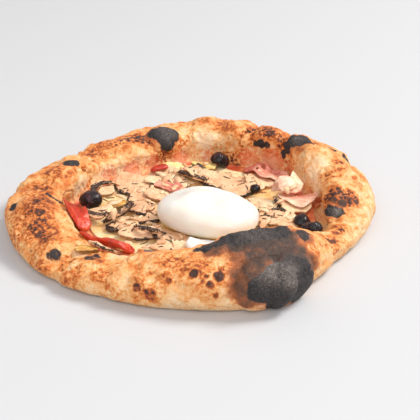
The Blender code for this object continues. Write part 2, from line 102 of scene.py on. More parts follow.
def corner_values(cell: np.ndarray, seed: int) -> np.ndarray:
    """A fixed random number for each cell of a lattice.

    Args:
        cell: Whole-number coordinates, last axis of 3.
        seed: Chooses one of many lattices.

    Returns:
        Numbers from -1 to 1.
    """
    big = cell.astype(np.int64).astype(np.uint64)
    mixed = big[..., 0] * np.uint64(73856093) ^ big[..., 1] * np.uint64(19349663)
    mixed ^= big[..., 2] * np.uint64(83492791) ^ np.uint64(seed * 2654435761 % 2**32)
    mixed = (mixed ^ (mixed >> np.uint64(15))) * np.uint64(2246822519)
    mixed = (mixed ^ (mixed >> np.uint64(13))) * np.uint64(3266489917)
    return ((mixed >> np.uint64(8)) & np.uint64(0xFFFF)).astype(float) / 32767.5 - 1


def waves(points: np.ndarray, size: float, seed: int, octaves: int = 1) -> np.ndarray:
    """Smooth noise in space.

    Args:
        points: Places in millimetres, last axis of 3.
        size: Width of the largest hills in millimetres.
        seed: Chooses one of many patterns.
        octaves: How many times finer hills are added.

    Returns:
        Numbers from about -1 to 1.
    """
    total = np.zeros(points.shape[:-1])
    weight, sum_of_weights = 1.0, 0.0
    for octave in range(octaves):
        spread = points / size * 2**octave + 31.7 * (seed + octave)
        cell = np.floor(spread)
        part = spread - cell
        part = part**3 * (part * (part * 6 - 15) + 10)
        for corner in np.ndindex(2, 2, 2):
            near = np.prod(np.where(corner, part, 1 - part), -1)
            total += weight * near * corner_values(cell + corner, seed)
        sum_of_weights += weight
        weight *= 0.5
    return 1.5 * total / sum_of_weights


# meshes


def mesh_of(name: str, points: np.ndarray, faces: list) -> bpy.types.Mesh:
    """A smooth-shaded mesh.

    Args:
        name: The mesh's name.
        points: Places in millimetres.
        faces: Corner numbers of each face.

    Returns:
        The mesh, in metres.
    """
    mesh = bpy.data.meshes.new(name)
    mesh.from_pydata((points * MM).tolist(), [], faces)
    mesh.shade_smooth()
    return mesh


def points_of(mesh: bpy.types.Mesh) -> np.ndarray:
    """The mesh's points.

    Args:
        mesh: A mesh in metres.

    Returns:
        Its points in millimetres.
    """
    flat = np.empty(len(mesh.vertices) * 3, np.float32)
    mesh.vertices.foreach_get("co", flat)
    return flat.reshape(-1, 3).astype(float) / MM


def normals_of(mesh: bpy.types.Mesh) -> np.ndarray:
    """The direction that each point of the mesh faces.

    Args:
        mesh: Any mesh.

    Returns:
        Unit vectors, one a point.
    """
    flat = np.empty(len(mesh.vertices) * 3, np.float32)
    mesh.vertex_normals.foreach_get("vector", flat)
    return flat.reshape(-1, 3).astype(float)


def move_points(mesh: bpy.types.Mesh, points: np.ndarray) -> None:
    """Puts the mesh's points in new places.

    Args:
        mesh: The mesh to change.
        points: The places in millimetres.
    """
    mesh.vertices.foreach_set("co", (points * MM).astype(np.float32).ravel())
    mesh.update()


def write_mask(mesh: bpy.types.Mesh, name: str, values: np.ndarray) -> None:
    """Stores a number, or three, for each point, which the materials read by name.

    Args:
        mesh: The mesh that gets it.
        name: The mask's name.
        values: One number a point, or one row of three.
    """
    if values.ndim == 1:
        made = mesh.attributes.new(name, "FLOAT", "POINT")
        made.data.foreach_set("value", values.astype(np.float32))
    else:
        made = mesh.attributes.new(name, "FLOAT_VECTOR", "POINT")
        made.data.foreach_set("vector", values.astype(np.float32).ravel())


def quad_shell(rings: np.ndarray) -> tuple[np.ndarray, list]:
    """A closed skin through rings of points, with a point at each end.

    Args:
        rings: Points by ring and by place round it.

    Returns:
        The points, and the corner numbers of the faces.
    """
    count, around = rings.shape[:2]
    ends = rings[0].mean(0), rings[-1].mean(0)
    points = np.concatenate([rings.reshape(-1, 3), ends])
    index = np.arange(count * around).reshape(count, around)
    after = np.roll(index, -1, 1)
    sides = np.stack([index[:-1], after[:-1], after[1:], index[1:]], -1).reshape(-1, 4)
    low, high = count * around, count * around + 1
    first = [(low, b, a) for a, b in zip(index[0], after[0])]
    last = [(high, a, b) for a, b in zip(index[-1], after[-1])]
    return points, [*sides.tolist(), *first, *last]


def modified(mesh: bpy.types.Mesh, *steps: tuple[str, dict]) -> bpy.types.Mesh:
    """The mesh that modifiers make of another.

    Args:
        mesh: The mesh that they work on.
        steps: Each modifier's type and settings.

    Returns:
        The new mesh, smooth-shaded and with no material.
    """
    helper = bpy.data.objects.new("helper", mesh)
    bpy.context.scene.collection.objects.link(helper)
    for kind, settings in steps:
        modifier = helper.modifiers.new(kind, kind)
        for key, value in settings.items():
            setattr(modifier, key, value)
    graph = bpy.context.evaluated_depsgraph_get()
    result = bpy.data.meshes.new_from_object(helper.evaluated_get(graph))
    bpy.data.objects.remove(helper)
    result.materials.clear()
    result.shade_smooth()
    return result


def finer_copy(node: str, voxel: float, smoothing: int) -> bpy.types.Mesh:
    """A node's skin with an even fine net and its facets rounded off.

    Args:
        node: The node to copy.
        voxel: Width of the new faces in millimetres.
        smoothing: How many times the points are evened out.

    Returns:
        The new mesh.
    """
    net = {"mode": "VOXEL", "voxel_size": voxel * MM}
    even = {"factor": 0.5, "iterations": smoothing}
    return modified(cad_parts[node].data.copy(), ("REMESH", net), ("SMOOTH", even))


def halved(node: str, levels: int) -> bpy.types.Mesh:
    """A rounder copy of a node whose solid is made of even rings.

    Args:
        node: The node to copy.
        levels: How many times each face is cut in four.

    Returns:
        The new mesh.
    """
    work = bmesh.new()
    work.from_mesh(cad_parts[node].data)
    bmesh.ops.remove_doubles(work, verts=work.verts, dist=1e-6)
    bmesh.ops.join_triangles(
        work, faces=work.faces, angle_face_threshold=3.0, angle_shape_threshold=3.0
    )
    plain = bpy.data.meshes.new("plain")
    work.to_mesh(plain)
    work.free()
    return modified(plain, ("SUBSURF", {"levels": levels, "render_levels": levels}))


def write_masks(mesh: bpy.types.Mesh, **masks: np.ndarray) -> None:
    """Stores several masks by their names."""
    for name, values in masks.items():
        write_mask(mesh, name, values)


class Lay:
    """How a flat piece lies: its middle, its length, its width and the way it faces."""

    def __init__(self, points: np.ndarray) -> None:
        """Measures a piece.

        Args:
            points: Its points in millimetres.
        """
        self.middle = points.mean(0)
        spread, axes = np.linalg.eigh(np.cov((points - self.middle).T))
        self.along, self.across, self.up = axes[:, 2], axes[:, 1], axes[:, 0]
        if self.up[2] < 0:
            self.up = -self.up
        self.half = 1.75 * np.sqrt(np.maximum(spread[[2, 1]], 1e-6))

    def local(self, points: np.ndarray) -> np.ndarray:
        """Places along, across and above the piece.

        Args:
            points: Places in millimetres.

        Returns:
            The same places from the piece's middle, in millimetres.
        """
        away = points - self.middle
        return np.stack([away @ self.along, away @ self.across, away @ self.up], -1)

    def outward(self, points: np.ndarray) -> tuple[np.ndarray, np.ndarray]:
        """Where places are between the piece's middle and its edge.

        Args:
            points: Places in millimetres.

        Returns:
            The direction in radians, and the distance as a share of the edge's.
        """
        here = self.local(points)
        turn = np.arctan2(here[:, 1], here[:, 0])
        away = np.hypot(here[:, 0], here[:, 1])
        bins = 40
        slot = ((turn / math.tau + 0.5) * bins).astype(int) % bins
        edge = np.full(bins, 1e-3)
        np.maximum.at(edge, slot, away)
        edge = (np.roll(edge, 1) + edge + np.roll(edge, -1)) / 3
        return turn, away / edge[slot]


def show(name: str, mesh: bpy.types.Mesh, slot: Slot) -> bpy.types.Object:
    """Adds a piece of the pizza to the scene.

    Args:
        name: The piece's name.
        mesh: Its mesh.
        slot: The finish that it takes.

    Returns:
        The new object.
    """
    mesh.materials.append(MATERIALS[slot])
    piece = bpy.data.objects.new(name, mesh)
    bpy.context.scene.collection.objects.link(piece)
    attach(piece, BODY)
    LOG.info("%s: %d faces", name, len(mesh.polygons))
    return piece


# shader nodes

Feed = bpy.types.NodeSocket | float | tuple


class Graph:
    """A node tree, with short ways to add nodes and feed their sockets."""

    def __init__(self, tree: bpy.types.NodeTree) -> None:
        """Keeps the tree that nodes are added to."""
        self.tree = tree

    def add(self, kind: str, feeds: dict | None = None, **settings: object) -> bpy.types.Node:
        """Adds a node.

        Args:
            kind: The node's type.
            feeds: What goes into its inputs, by name or number.
            settings: Values of its own fields.

        Returns:
            The node.
        """
        node = self.tree.nodes.new(kind)
        for key, value in settings.items():
            setattr(node, key, value)
        for key, value in (feeds or {}).items():
            if isinstance(value, bpy.types.NodeSocket):
                self.tree.links.new(value, node.inputs[key])
            else:
                node.inputs[key].default_value = value
        return node

    def math(self, operation: str, *values: Feed) -> bpy.types.NodeSocket:
        """The result of a sum on values or sockets."""
        return self.add("ShaderNodeMath", dict(enumerate(values)), operation=operation).outputs[0]

    def shifted(self, value: Feed, other: Feed, weight: float) -> bpy.types.NodeSocket:
        """A value moved up or down by another that runs from 0 to 1.

        Args:
            value: What is moved.
            other: What moves it, with no effect at one half.
            weight: How far it moves at most, both ways together.

        Returns:
            The moved value.
        """
        return self.math("ADD", value, self.math("MULTIPLY_ADD", other, weight, -weight / 2))

    def step(self, value: Feed, low: float, high: float) -> bpy.types.NodeSocket:
        """A smooth rise from 0 at low to 1 at high."""
        feeds = {"Value": value, "From Min": low, "From Max": high}
        node = self.add("ShaderNodeMapRange", feeds, interpolation_type="SMOOTHSTEP")
        return node.outputs["Result"]

    def mix(self, share: Feed, first: Feed, second: Feed, blend: str = "MIX") -> bpy.types.NodeSocket:
        """A colour between two others.

        Args:
            share: How much of the second.
            first: The colour at 0.
            second: The colour at 1.
            blend: How the second is laid over the first.

        Returns:
            The mixed colour.
        """
        feeds = {0: share, 6: first, 7: second}
        return self.add("ShaderNodeMix", feeds, data_type="RGBA", blend_type=blend).outputs[2]

    def tinted(
        self, colour: Feed, mask: Feed, share: float, second: Feed, blend: str = "MIX"
    ) -> bpy.types.NodeSocket:
        """A colour that turns into another where a mask is 1.

        Args:
            colour: The colour where the mask is 0.
            mask: Where it changes.
            share: How much of the second shows at most.
            second: The colour that it turns into.
            blend: How the second is laid over the first.

        Returns:
            The mixed colour.
        """
        return self.mix(self.math("MULTIPLY", mask, share), colour, second, blend)

    def ramp(self, value: Feed, *stops: tuple[float, int, int, int]) -> bpy.types.NodeSocket:
        """A colour picked from a row of colours.

        Args:
            value: Place along the row, 0 to 1.
            stops: A place, and the colour's red, green and blue there, 0 to 255.

        Returns:
            The colour there.
        """
        node = self.add("ShaderNodeValToRGB", {0: value})
        row = node.color_ramp.elements
        while len(row) < len(stops):
            row.new(0.5)
        for element, (place, *colour) in zip(row, stops):
            element.position = place
            element.color = tone(*colour)
        return node.outputs[0]

    def mask(self, name: str) -> bpy.types.NodeSocket:
        """The number that the mesh stores under this name."""
        return self.add("ShaderNodeAttribute", attribute_name=name).outputs["Fac"]

    def place(self, group: bpy.types.NodeTree, **feeds: Feed) -> bpy.types.NodeSocket:
        """Puts a node group to use.

        Args:
            group: The group.
            feeds: What goes into its inputs, by name.

        Returns:
            What the group puts out.
        """
        return self.add("ShaderNodeGroup", feeds, node_tree=group).outputs[0]

    def link(self, value: bpy.types.NodeSocket, node: bpy.types.Node, name: str) -> None:
        """Feeds a value to one of a node's inputs."""
        self.tree.links.new(value, node.inputs[name])


def new_group(name: str, inputs: dict) -> tuple[bpy.types.NodeTree, Graph, dict, bpy.types.Node]:
    """Starts a node group that puts out one number, called Value.

    Args:
        name: The group's name.
        inputs: Its number inputs with their usual values. Vector inputs have a value of None.

    Returns:
        The group, its graph, its input sockets by name and its output node.
    """
    tree = bpy.data.node_groups.new(name, "ShaderNodeTree")
    for key, value in inputs.items():
        kind = "NodeSocketVector" if value is None else "NodeSocketFloat"
        made = tree.interface.new_socket(key, in_out="INPUT", socket_type=kind)
        if value is not None:
            made.default_value = value
    tree.interface.new_socket("Value", in_out="OUTPUT", socket_type="NodeSocketFloat")
    graph = Graph(tree)
    sockets = graph.add("NodeGroupInput").outputs
    return tree, graph, {key: sockets[key] for key in inputs}, graph.add("NodeGroupOutput")


class Effects:
    """The effects that several foods share, each a node group."""

    def __init__(self) -> None:
        """Builds every group once."""
        self.mottle = self.make_mottle()
        self.specks = self.make_specks()
        self.fibres = self.make_fibres()

    @staticmethod
    def spread(graph: Graph, given: dict) -> bpy.types.NodeSocket:
        """Object coordinates measured in steps of a size.

        Args:
            graph: Where the nodes go.
            given: The group's inputs: Size, the step in millimetres, and Shift, which moves the
                pattern so that two uses differ.

        Returns:
            The coordinates.
        """
        here = graph.add("ShaderNodeTexCoord").outputs["Object"]
        steps = graph.math("DIVIDE", 1 / MM, given["Size"])
        scaled = graph.add("ShaderNodeVectorMath", {0: here, "Scale": steps}, operation="SCALE")
        return graph.add("ShaderNodeVectorMath", {0: scaled.outputs[0], 1: given["Shift"]}).outputs[0]

    def make_mottle(self) -> bpy.types.NodeTree:
        """Cloudy unevenness from 0 to 1.

        Returns:
            The group.
        """
        inputs = {"Size": 8.0, "Detail": 3.0, "Shift": 0.0, "Contrast": 1.0}
        tree, graph, given, out = new_group("mottle", inputs)
        here = self.spread(graph, given)
        feeds = {"Vector": here, "Scale": 1.0, "Detail": given["Detail"], "Roughness": 0.55}
        cloud = graph.add("ShaderNodeTexNoise", feeds).outputs["Fac"]
        gain = graph.math("MULTIPLY", graph.math("SUBTRACT", cloud, 0.5), given["Contrast"])
        value = graph.math("MULTIPLY_ADD", gain, 2.2, 0.5)
        clamped = graph.add("ShaderNodeClamp", {"Value": value}).outputs[0]
        graph.link(clamped, out, "Value")
        return tree

    def make_specks(self) -> bpy.types.NodeTree:
        """Scattered round spots, 1 inside and 0 between them.

        Returns:
            The group.
        """
        inputs = {"Size": 5.0, "Share": 0.3, "Shift": 0.0}
        tree, graph, given, out = new_group("specks", inputs)
        here = self.spread(graph, given)
        cells = graph.add("ShaderNodeTexVoronoi", {"Vector": here, "Scale": 1.0})
        chance = graph.add("ShaderNodeSeparateColor", {0: cells.outputs["Color"]}).outputs
        radius = graph.math("MULTIPLY", chance[0], given["Share"])
        kept = graph.math("GREATER_THAN", chance[1], 0.45)
        edge = graph.math("SUBTRACT", radius, cells.outputs["Distance"])
        inside = graph.step(edge, -0.04, 0.06)
        graph.link(graph.math("MULTIPLY", inside, kept), out, "Value")
        return tree

    def make_fibres(self) -> bpy.types.NodeTree:
        """Fine streaks along a piece, from 0 to 1.

        Returns:
            The group.
        """
        inputs = {"Grain": None, "Size": 1.2, "Stretch": 9.0}
        tree, graph, given, out = new_group("fibres", inputs)
        parts = graph.add("ShaderNodeSeparateXYZ", {0: given["Grain"]}).outputs
        length = graph.math("DIVIDE", parts[0], graph.math("MULTIPLY", given["Size"], given["Stretch"]))
        width = graph.math("DIVIDE", parts[1], given["Size"])
        height = graph.math("DIVIDE", parts[2], graph.math("MULTIPLY", given["Size"], 2.0))
        here = graph.add("ShaderNodeCombineXYZ", {0: length, 1: width, 2: height}).outputs[0]
        feeds = {"Vector": here, "Scale": 1.0, "Detail": 2.0, "Distortion": 0.4}
        cloud = graph.add("ShaderNodeTexNoise", feeds).outputs["Fac"]
        graph.link(graph.step(cloud, 0.3, 0.7), out, "Value")
        return tree


EFFECTS = Effects()


@dataclass(frozen=True)
class Finish:
    """What all the foods' materials have in common."""

    name: str
    roughness: float
    subsurface: float = 0.1
    reach: tuple[float, float, float] = (3.0, 1.6, 0.9)  # how deep each colour of light goes
    coat: float = 0.0

    def start(self) -> tuple[bpy.types.Material, Graph, bpy.types.Node]:
        """A material with its shader's even values set.

        Returns:
            The material, its graph and its shader.
        """
        made = bpy.data.materials.new(self.name)
        made.use_nodes = True
        graph = Graph(made.node_tree)
        shader = made.node_tree.nodes["Principled BSDF"]
        shader.inputs["Roughness"].default_value = self.roughness
        shader.inputs["Subsurface Weight"].default_value = self.subsurface
        shader.inputs["Subsurface Radius"].default_value = self.reach
        shader.inputs["Subsurface Scale"].default_value = MM
        shader.inputs["Coat Weight"].default_value = self.coat
        shader.inputs["Coat Roughness"].default_value = 0.15
        return made, graph, shader

    @staticmethod
    def feed(
        graph: Graph, shader: bpy.types.Node, colour: Feed, rough: Feed, relief: Feed, depth: float
    ) -> None:
        """Gives the shader its colour, its roughness and a fine relief.

        Args:
            graph: The material's graph.
            shader: Its shader.
            colour: The colour.
            rough: The roughness.
            relief: The relief, 0 to 1.
            depth: How deep the relief is in millimetres.
        """
        feeds = {"Height": relief, "Distance": depth * MM, "Strength": 1.0}
        normal = graph.add("ShaderNodeBump", feeds).outputs["Normal"]
        for value, name in ((colour, "Base Color"), (rough, "Roughness"), (normal, "Normal")):
            graph.link(value, shader, name)


@dataclass(frozen=True)
class CrustFinish(Finish):
    """Baked dough: flour-pale to golden, orange, brown and charred."""

    def build(self) -> bpy.types.Material:
        """The material.

        Returns:
            It, with its nodes.
        """
        made, graph, shader = self.start()
        blotch = graph.place(EFFECTS.mottle, Size=7.0, Detail=5.0, Contrast=1.2)
        cloud = graph.place(EFFECTS.mottle, Size=2.6, Detail=4.0, Shift=4.0, Contrast=1.5)
        fine = graph.place(EFFECTS.mottle, Size=1.0, Detail=2.0, Shift=9.0, Contrast=1.2)
        toast = graph.shifted(graph.mask("toast"), blotch, 0.32)
        toast = graph.shifted(toast, cloud, 0.16)
        toast = graph.shifted(toast, fine, 0.06)
        patchy = graph.math("MULTIPLY_ADD", graph.step(cloud, 0.25, 0.8), 0.9, 0.45)
        toast = graph.math("ADD", toast, graph.math("MULTIPLY", graph.mask("brown"), patchy))
        dough = graph.ramp(
            toast,
            (0.0, 250, 222, 184),
            (0.2, 249, 212, 166),
            (0.38, 245, 191, 130),
            (0.52, 237, 164, 94),
            (0.66, 216, 122, 48),
            (0.8, 178, 88, 30),
            (0.92, 118, 58, 26),
            (1.0, 70, 40, 26),
        )
        rosy = graph.place(EFFECTS.mottle, Size=14.0, Detail=2.0, Shift=2.0)
        dough = graph.tinted(dough, rosy, 0.2, tone(252, 200, 158), "MULTIPLY")
        stain = graph.step(graph.shifted(graph.mask("stain"), cloud, 0.6), 0.25, 0.8)
        dough = graph.tinted(dough, stain, 0.62, tone(236, 112, 72))
        spots = graph.place(EFFECTS.specks, Size=3.4, Share=0.36, Shift=3.0)
        spots = graph.math("MULTIPLY", spots, graph.mask("speckle"))
        dough = graph.tinted(dough, spots, 0.62, tone(124, 66, 38))
        burn = graph.shifted(graph.shifted(graph.mask("char"), cloud, 0.36), fine, 0.18)
        scorched = graph.step(burn, 0.1, 0.46)
        dough = graph.tinted(dough, scorched, 0.8, tone(124, 64, 34))
        haze = graph.shifted(graph.shifted(graph.mask("smoke"), blotch, 0.3), fine, 0.12)
        smoky = graph.ramp(
            haze,
            (0.3, 222, 128, 66),
            (0.55, 168, 92, 46),
            (0.8, 116, 70, 42),
            (1.0, 70, 50, 40),
        )
        dough = graph.mix(graph.step(haze, 0.12, 0.62), dough, smoky)
        coal = graph.ramp(
            graph.shifted(graph.shifted(graph.mask("ash"), fine, 0.42), cloud, 0.26),
            (0.0, 32, 27, 27),
            (0.3, 64, 56, 54),
            (0.6, 106, 96, 90),
            (1.0, 164, 152, 144),
        )
        burnt = graph.step(burn, 0.34, 0.66)
        colour = graph.mix(burnt, dough, coal)
        dull = graph.math("MULTIPLY_ADD", burnt, 0.1, self.roughness)
        rough = graph.math("ADD", dull, graph.math("MULTIPLY_ADD", cloud, 0.24, -0.12))
        relief = graph.math("MULTIPLY_ADD", cloud, 0.6, graph.math("MULTIPLY", fine, 0.4))
        self.feed(graph, shader, colour, rough, relief, 0.7)
        return made


@dataclass(frozen=True)
class MushroomFinish(Finish):
    """Cooked mushroom: cream to pink flesh, brown sides that are partly skin and partly painted shade, and
    nearly black gills.
    """

    def build(self) -> bpy.types.Material:
        """The material.

        Returns:
            It, with its nodes.
        """
        made, graph, shader = self.start()
        grain = graph.add("ShaderNodeAttribute", attribute_name="grain").outputs["Vector"]
        streak = graph.place(EFFECTS.fibres, Grain=grain, Size=1.3, Stretch=7.0)
        cloud = graph.place(EFFECTS.mottle, Size=5.0, Detail=3.0, Contrast=1.2)
        fine = graph.place(EFFECTS.mottle, Size=1.3, Detail=2.0, Shift=5.0)
        flesh = graph.ramp(
            graph.shifted(graph.mask("tint"), cloud, 0.35),
            (0.0, 244, 214, 170),
            (0.3, 238, 194, 152),
            (0.6, 222, 164, 120),
            (1.0, 190, 122, 80),
        )
        flesh = graph.tinted(flesh, graph.step(streak, 0.55, 1.0), 0.3, tone(214, 150, 108))
        # the sides turn brown: partly real skin, partly painted shade along the slices' sides
        brown = graph.step(graph.shifted(graph.mask("skin"), cloud, 0.5), 0.45, 0.95)
        flesh = graph.tinted(flesh, brown, 0.75, tone(132, 84, 50))
        gill = graph.shifted(graph.shifted(graph.mask("gill"), fine, 0.7), streak, 0.6)
        gill = graph.step(gill, 0.45, 0.7)
        dark = graph.mix(graph.step(fine, 0.5, 0.85), tone(34, 21, 15), tone(112, 70, 42))
        dots = graph.place(EFFECTS.specks, Size=3.4, Share=0.24, Shift=7.0)
        flesh = graph.tinted(flesh, dots, 0.75, tone(84, 52, 36))
        colour = graph.mix(gill, flesh, dark)
        rough = graph.math("MULTIPLY_ADD", cloud, 0.3, self.roughness - 0.15)
        relief = graph.math("MULTIPLY_ADD", streak, 0.5, graph.math("MULTIPLY", fine, 0.5))
        self.feed(graph, shader, colour, rough, relief, 0.35)
        return made


@dataclass(frozen=True)
class FleshFinish(Finish):
    """Soft food of a few colours: ham, artichoke, tomato, sauce, cheese."""

    colours: tuple = ()  # from where the mask called tint is 0 to where it is 1
    edge: tuple = (0, 0, 0)
    edge_share: float = 0.0
    streaks: float = 0.3
    unevenness: float = 0.35
    cloud_size: float = 6.0
    depth: float = 0.3
    dots: float = 0.0

    def build(self) -> bpy.types.Material:
        """The material.

        Returns:
            It, with its nodes.
        """
        made, graph, shader = self.start()
        grain = graph.add("ShaderNodeAttribute", attribute_name="grain").outputs["Vector"]
        streak = graph.place(EFFECTS.fibres, Grain=grain, Size=1.6, Stretch=8.0)
        cloud = graph.place(EFFECTS.mottle, Size=self.cloud_size, Detail=4.0, Contrast=1.2)
        fine = graph.place(EFFECTS.mottle, Size=1.4, Detail=2.0, Shift=5.0)
        where = graph.shifted(graph.shifted(graph.mask("tint"), cloud, self.unevenness), streak, self.streaks)
        steps = len(self.colours) - 1
        row = [(k / steps, *colour) for k, colour in enumerate(self.colours)]
        colour = graph.ramp(where, *row)
        if self.edge_share:
            rim = graph.step(graph.shifted(graph.mask("skin"), cloud, 0.5), 0.4, 0.9)
            colour = graph.tinted(colour, rim, self.edge_share, tone(*self.edge))
        if self.dots:
            spots = graph.place(EFFECTS.specks, Size=3.6, Share=0.25, Shift=8.0)
            colour = graph.tinted(colour, spots, self.dots, tone(92, 58, 34))
        rough = graph.math("MULTIPLY_ADD", cloud, 0.25, self.roughness - 0.12)
        relief = graph.math("MULTIPLY_ADD", streak, 0.4, graph.math("MULTIPLY", fine, 0.6))
        self.feed(graph, shader, colour, rough, relief, self.depth)
        return made


@dataclass(frozen=True)
class OliveFinish(Finish):
    """Cured black olive: a nearly black wrinkled skin with a purple cast and an oily shine."""

    def build(self) -> bpy.types.Material:
        """The material.

        Returns:
            It, with its nodes.
        """
        made, graph, shader = self.start()
        cloud = graph.place(EFFECTS.mottle, Size=5.0, Detail=3.0, Contrast=1.3)
        fine = graph.place(EFFECTS.mottle, Size=1.6, Detail=2.0, Shift=3.0)
        colour = graph.ramp(cloud, (0.0, 16, 8, 10), (0.6, 30, 14, 18), (1.0, 72, 34, 38))
        shader.inputs["Specular IOR Level"].default_value = 0.2
        shader.inputs["Coat Roughness"].default_value = 0.05
        rough = graph.math("MULTIPLY_ADD", fine, 0.3, self.roughness - 0.1)
        relief = graph.math("MULTIPLY_ADD", cloud, 0.6, fine)
        self.feed(graph, shader, colour, rough, relief, 0.25)
        return made


FINISHES = {
    Slot.CRUST: CrustFinish("crust", roughness=0.6, subsurface=0.12, reach=(4.0, 2.0, 1.0)),
    Slot.MUSHROOM: MushroomFinish("mushroom", roughness=0.5, subsurface=0.15),
    Slot.HAM: FleshFinish(
        "ham",
        roughness=0.4,
        subsurface=0.2,
        colours=((250, 222, 190), (240, 190, 160), (222, 140, 116), (190, 92, 78)),
        edge=(158, 84, 62),
        edge_share=0.45,
        streaks=0.35,
    ),
    Slot.ARTICHOKE: FleshFinish(
        "artichoke",
        roughness=0.42,
        subsurface=0.15,
        colours=((250, 226, 160), (232, 190, 108), (200, 136, 60), (138, 96, 40)),
        edge=(84, 74, 34),
        edge_share=0.8,
        streaks=0.45,
    ),
    Slot.TOMATO: FleshFinish(
        "tomato",
        roughness=0.32,
        subsurface=0.12,
        colours=((228, 104, 54), (206, 54, 16), (176, 32, 8), (112, 16, 6)),
        edge=(204, 76, 36),
        edge_share=0.3,
        coat=0.12,
        streaks=0.3,
        unevenness=0.6,
        depth=0.5,
    ),
    Slot.SAUCE: FleshFinish(
        "tomato_sauce",
        roughness=0.4,
        subsurface=0.2,
        colours=((246, 180, 130), (236, 132, 84), (216, 88, 48), (180, 54, 24)),
        unevenness=0.6,
        streaks=0.1,
        cloud_size=9.0,
        depth=0.6,
        coat=0.2,
    ),
    Slot.CHEESE: FleshFinish(
        "melted_cheese",
        roughness=0.38,
        subsurface=0.25,
        colours=((252, 224, 180), (248, 204, 142), (240, 180, 108), (220, 144, 74)),
        unevenness=0.7,
        streaks=0.1,
        cloud_size=10.0,
        depth=0.5,
        dots=0.4,
    ),
    Slot.BURRATA: FleshFinish(
        "burrata",
        roughness=0.36,
        subsurface=0.9,
        reach=(22.0, 18.0, 13.0),
        # the last, paler and warmer colours go low on the ball and the first, greyer one on top: painted
        # bounce light below and painted shade on top, over a real yellowish oily base
        colours=((228, 224, 217), (240, 232, 214), (255, 240, 200), (255, 228, 160)),
        unevenness=0.08,
        streaks=0.0,
        cloud_size=22.0,
        depth=0.12,
        coat=0.15,
    ),
    Slot.OLIVE: OliveFinish("olive", roughness=0.36, subsurface=0.0, coat=0.26),
}
MATERIALS = {slot: finish.build() for slot, finish in FINISHES.items()}


# the crust


class Station(NamedTuple):
    """The rim's measures at one place round the pizza."""

    foot: float  # radius where the side meets the table
    crest: float  # radius of the highest line
    height: float  # height of that line
    inner: float  # radius of the inner wall's foot


STATIONS = tuple(
    Station(*row)
    for row in (
        (146, 128, 35, 112), (143, 130, 42, 108), (133, 121, 41, 111), (134, 121, 40, 103),
        (136, 121, 36, 98), (125, 111, 33, 87), (123, 110, 30, 88), (129, 112, 29, 97),
        (143, 124, 30, 108), (145, 126, 29, 105), (142, 125, 19, 106), (136, 117, 26, 97),
        (136, 121, 34, 95), (140, 117, 45, 92), (131, 114, 36, 98), (131, 121, 21, 110),
    )
)


class Bubble(NamedTuple):
    """A blister or swelling in the rim, or a dent where the height is negative."""

    angle: float  # degrees from the right, anticlockwise
    place: float  # 0 foot, 1 belly, 2 crest, 3 inner wall, 4 floor
    radius: float
    height: float
    edge: float  # low for a dome with a clear edge, high for a soft swell


BUBBLES = tuple(
    Bubble(*row)
    for row in (
        (-69, 1.05, 22, 7, 0.6), (-59, 1.0, 23, 8, 0.6), (-48, 1.9, 17, 3, 1.5),
        (106, 2.35, 17, 7, 0.9), (54, 2.4, 17, 5, 1.2), (38, 2.1, 16, 4, 1.0),
        (171, 2.5, 21, 6, 1.0), (158, 2.0, 14, 4, 1.0), (84, 2.0, 15, 3, 1.3),
        (69, 2.3, 16, 4, 1.2), (128, 2.2, 20, 3, 1.4), (25, 2.3, 18, 4, 1.2),
        (-3, 2.3, 17, 5, 1.0), (-22, 1.8, 20, 2, 1.4), (-21, 2.9, 21, -8, 1.0),
        (-120, 2.2, 20, -5, 1.2), (-140, 1.8, 16, 4, 1.2), (-161, 1.9, 20, 4, 1.3),
        (-100, 2.0, 20, 3, 1.4), (-84, 1.2, 26, 2, 1.6),
    )
)


class Groove(NamedTuple):
    """A crease that runs across the rim from side to side."""

    angle: float
    width: float  # degrees
    depth: float


GROOVES = tuple(
    Groove(*row)
    for row in (
        (-179, 3.0, 4.0), (146, 4.0, 2.5), (61, 3.0, 3.5), (45, 3.0, 4.0), (17, 3.5, 3.5),
        (-33, 4.5, 2.5), (-133, 3.0, 4.0), (-117, 3.0, 2.0), (95, 4.0, 2.0),
    )
)


class Bake(Enum):
    """What the oven, or the sauce, did to a spot of the rim; a few brown marks are painted shade instead."""

    CHAR = "char"
    ASH = "ash"
    SMOKE = "smoke"
    BROWN = "brown"
    PALE = "pale"
    STAIN = "stain"
    DOT = "dot"
    FOLD = "fold"


SUMMED = (Bake.BROWN, Bake.PALE)  # marks of these kinds add up where they meet
MOST_SUMMED = 0.5
SHARP = (Bake.DOT, Bake.FOLD)  # these kinds are even, and the others get uneven edges
CRISP = (Bake.CHAR, Bake.DOT)  # these kinds have a clear edge
CRISP_EDGE = (1.15, 0.75)  # shares of the radius where a mark starts and where it is full
SOFT_EDGE = (1.4, 0.3)
MM_PER_DEGREE = 2.2  # along the crest
MM_PER_PLACE = 22  # across the rim

Mark = tuple[float, float, float, float]  # angle in degrees, place across the rim, radius, strength


def line(radius: float, strength: float, *bends: tuple[float, float]) -> tuple[Mark, ...]:
    """A narrow mark through a few places, as a row of spots.

    Args:
        radius: Half its width.
        strength: How strong it is.
        bends: Angle and place of each end and bend.

    Returns:
        The spots.
    """
    row = []
    for start, end in zip(bends[:-1], bends[1:]):
        turn, rise = end[0] - start[0], end[1] - start[1]
        steps = max(int(math.hypot(turn * MM_PER_DEGREE, rise * MM_PER_PLACE) / radius), 1)
        for k in range(steps + 1):
            row.append((start[0] + turn * k / steps, start[1] + rise * k / steps, radius, strength))
    return tuple(row)


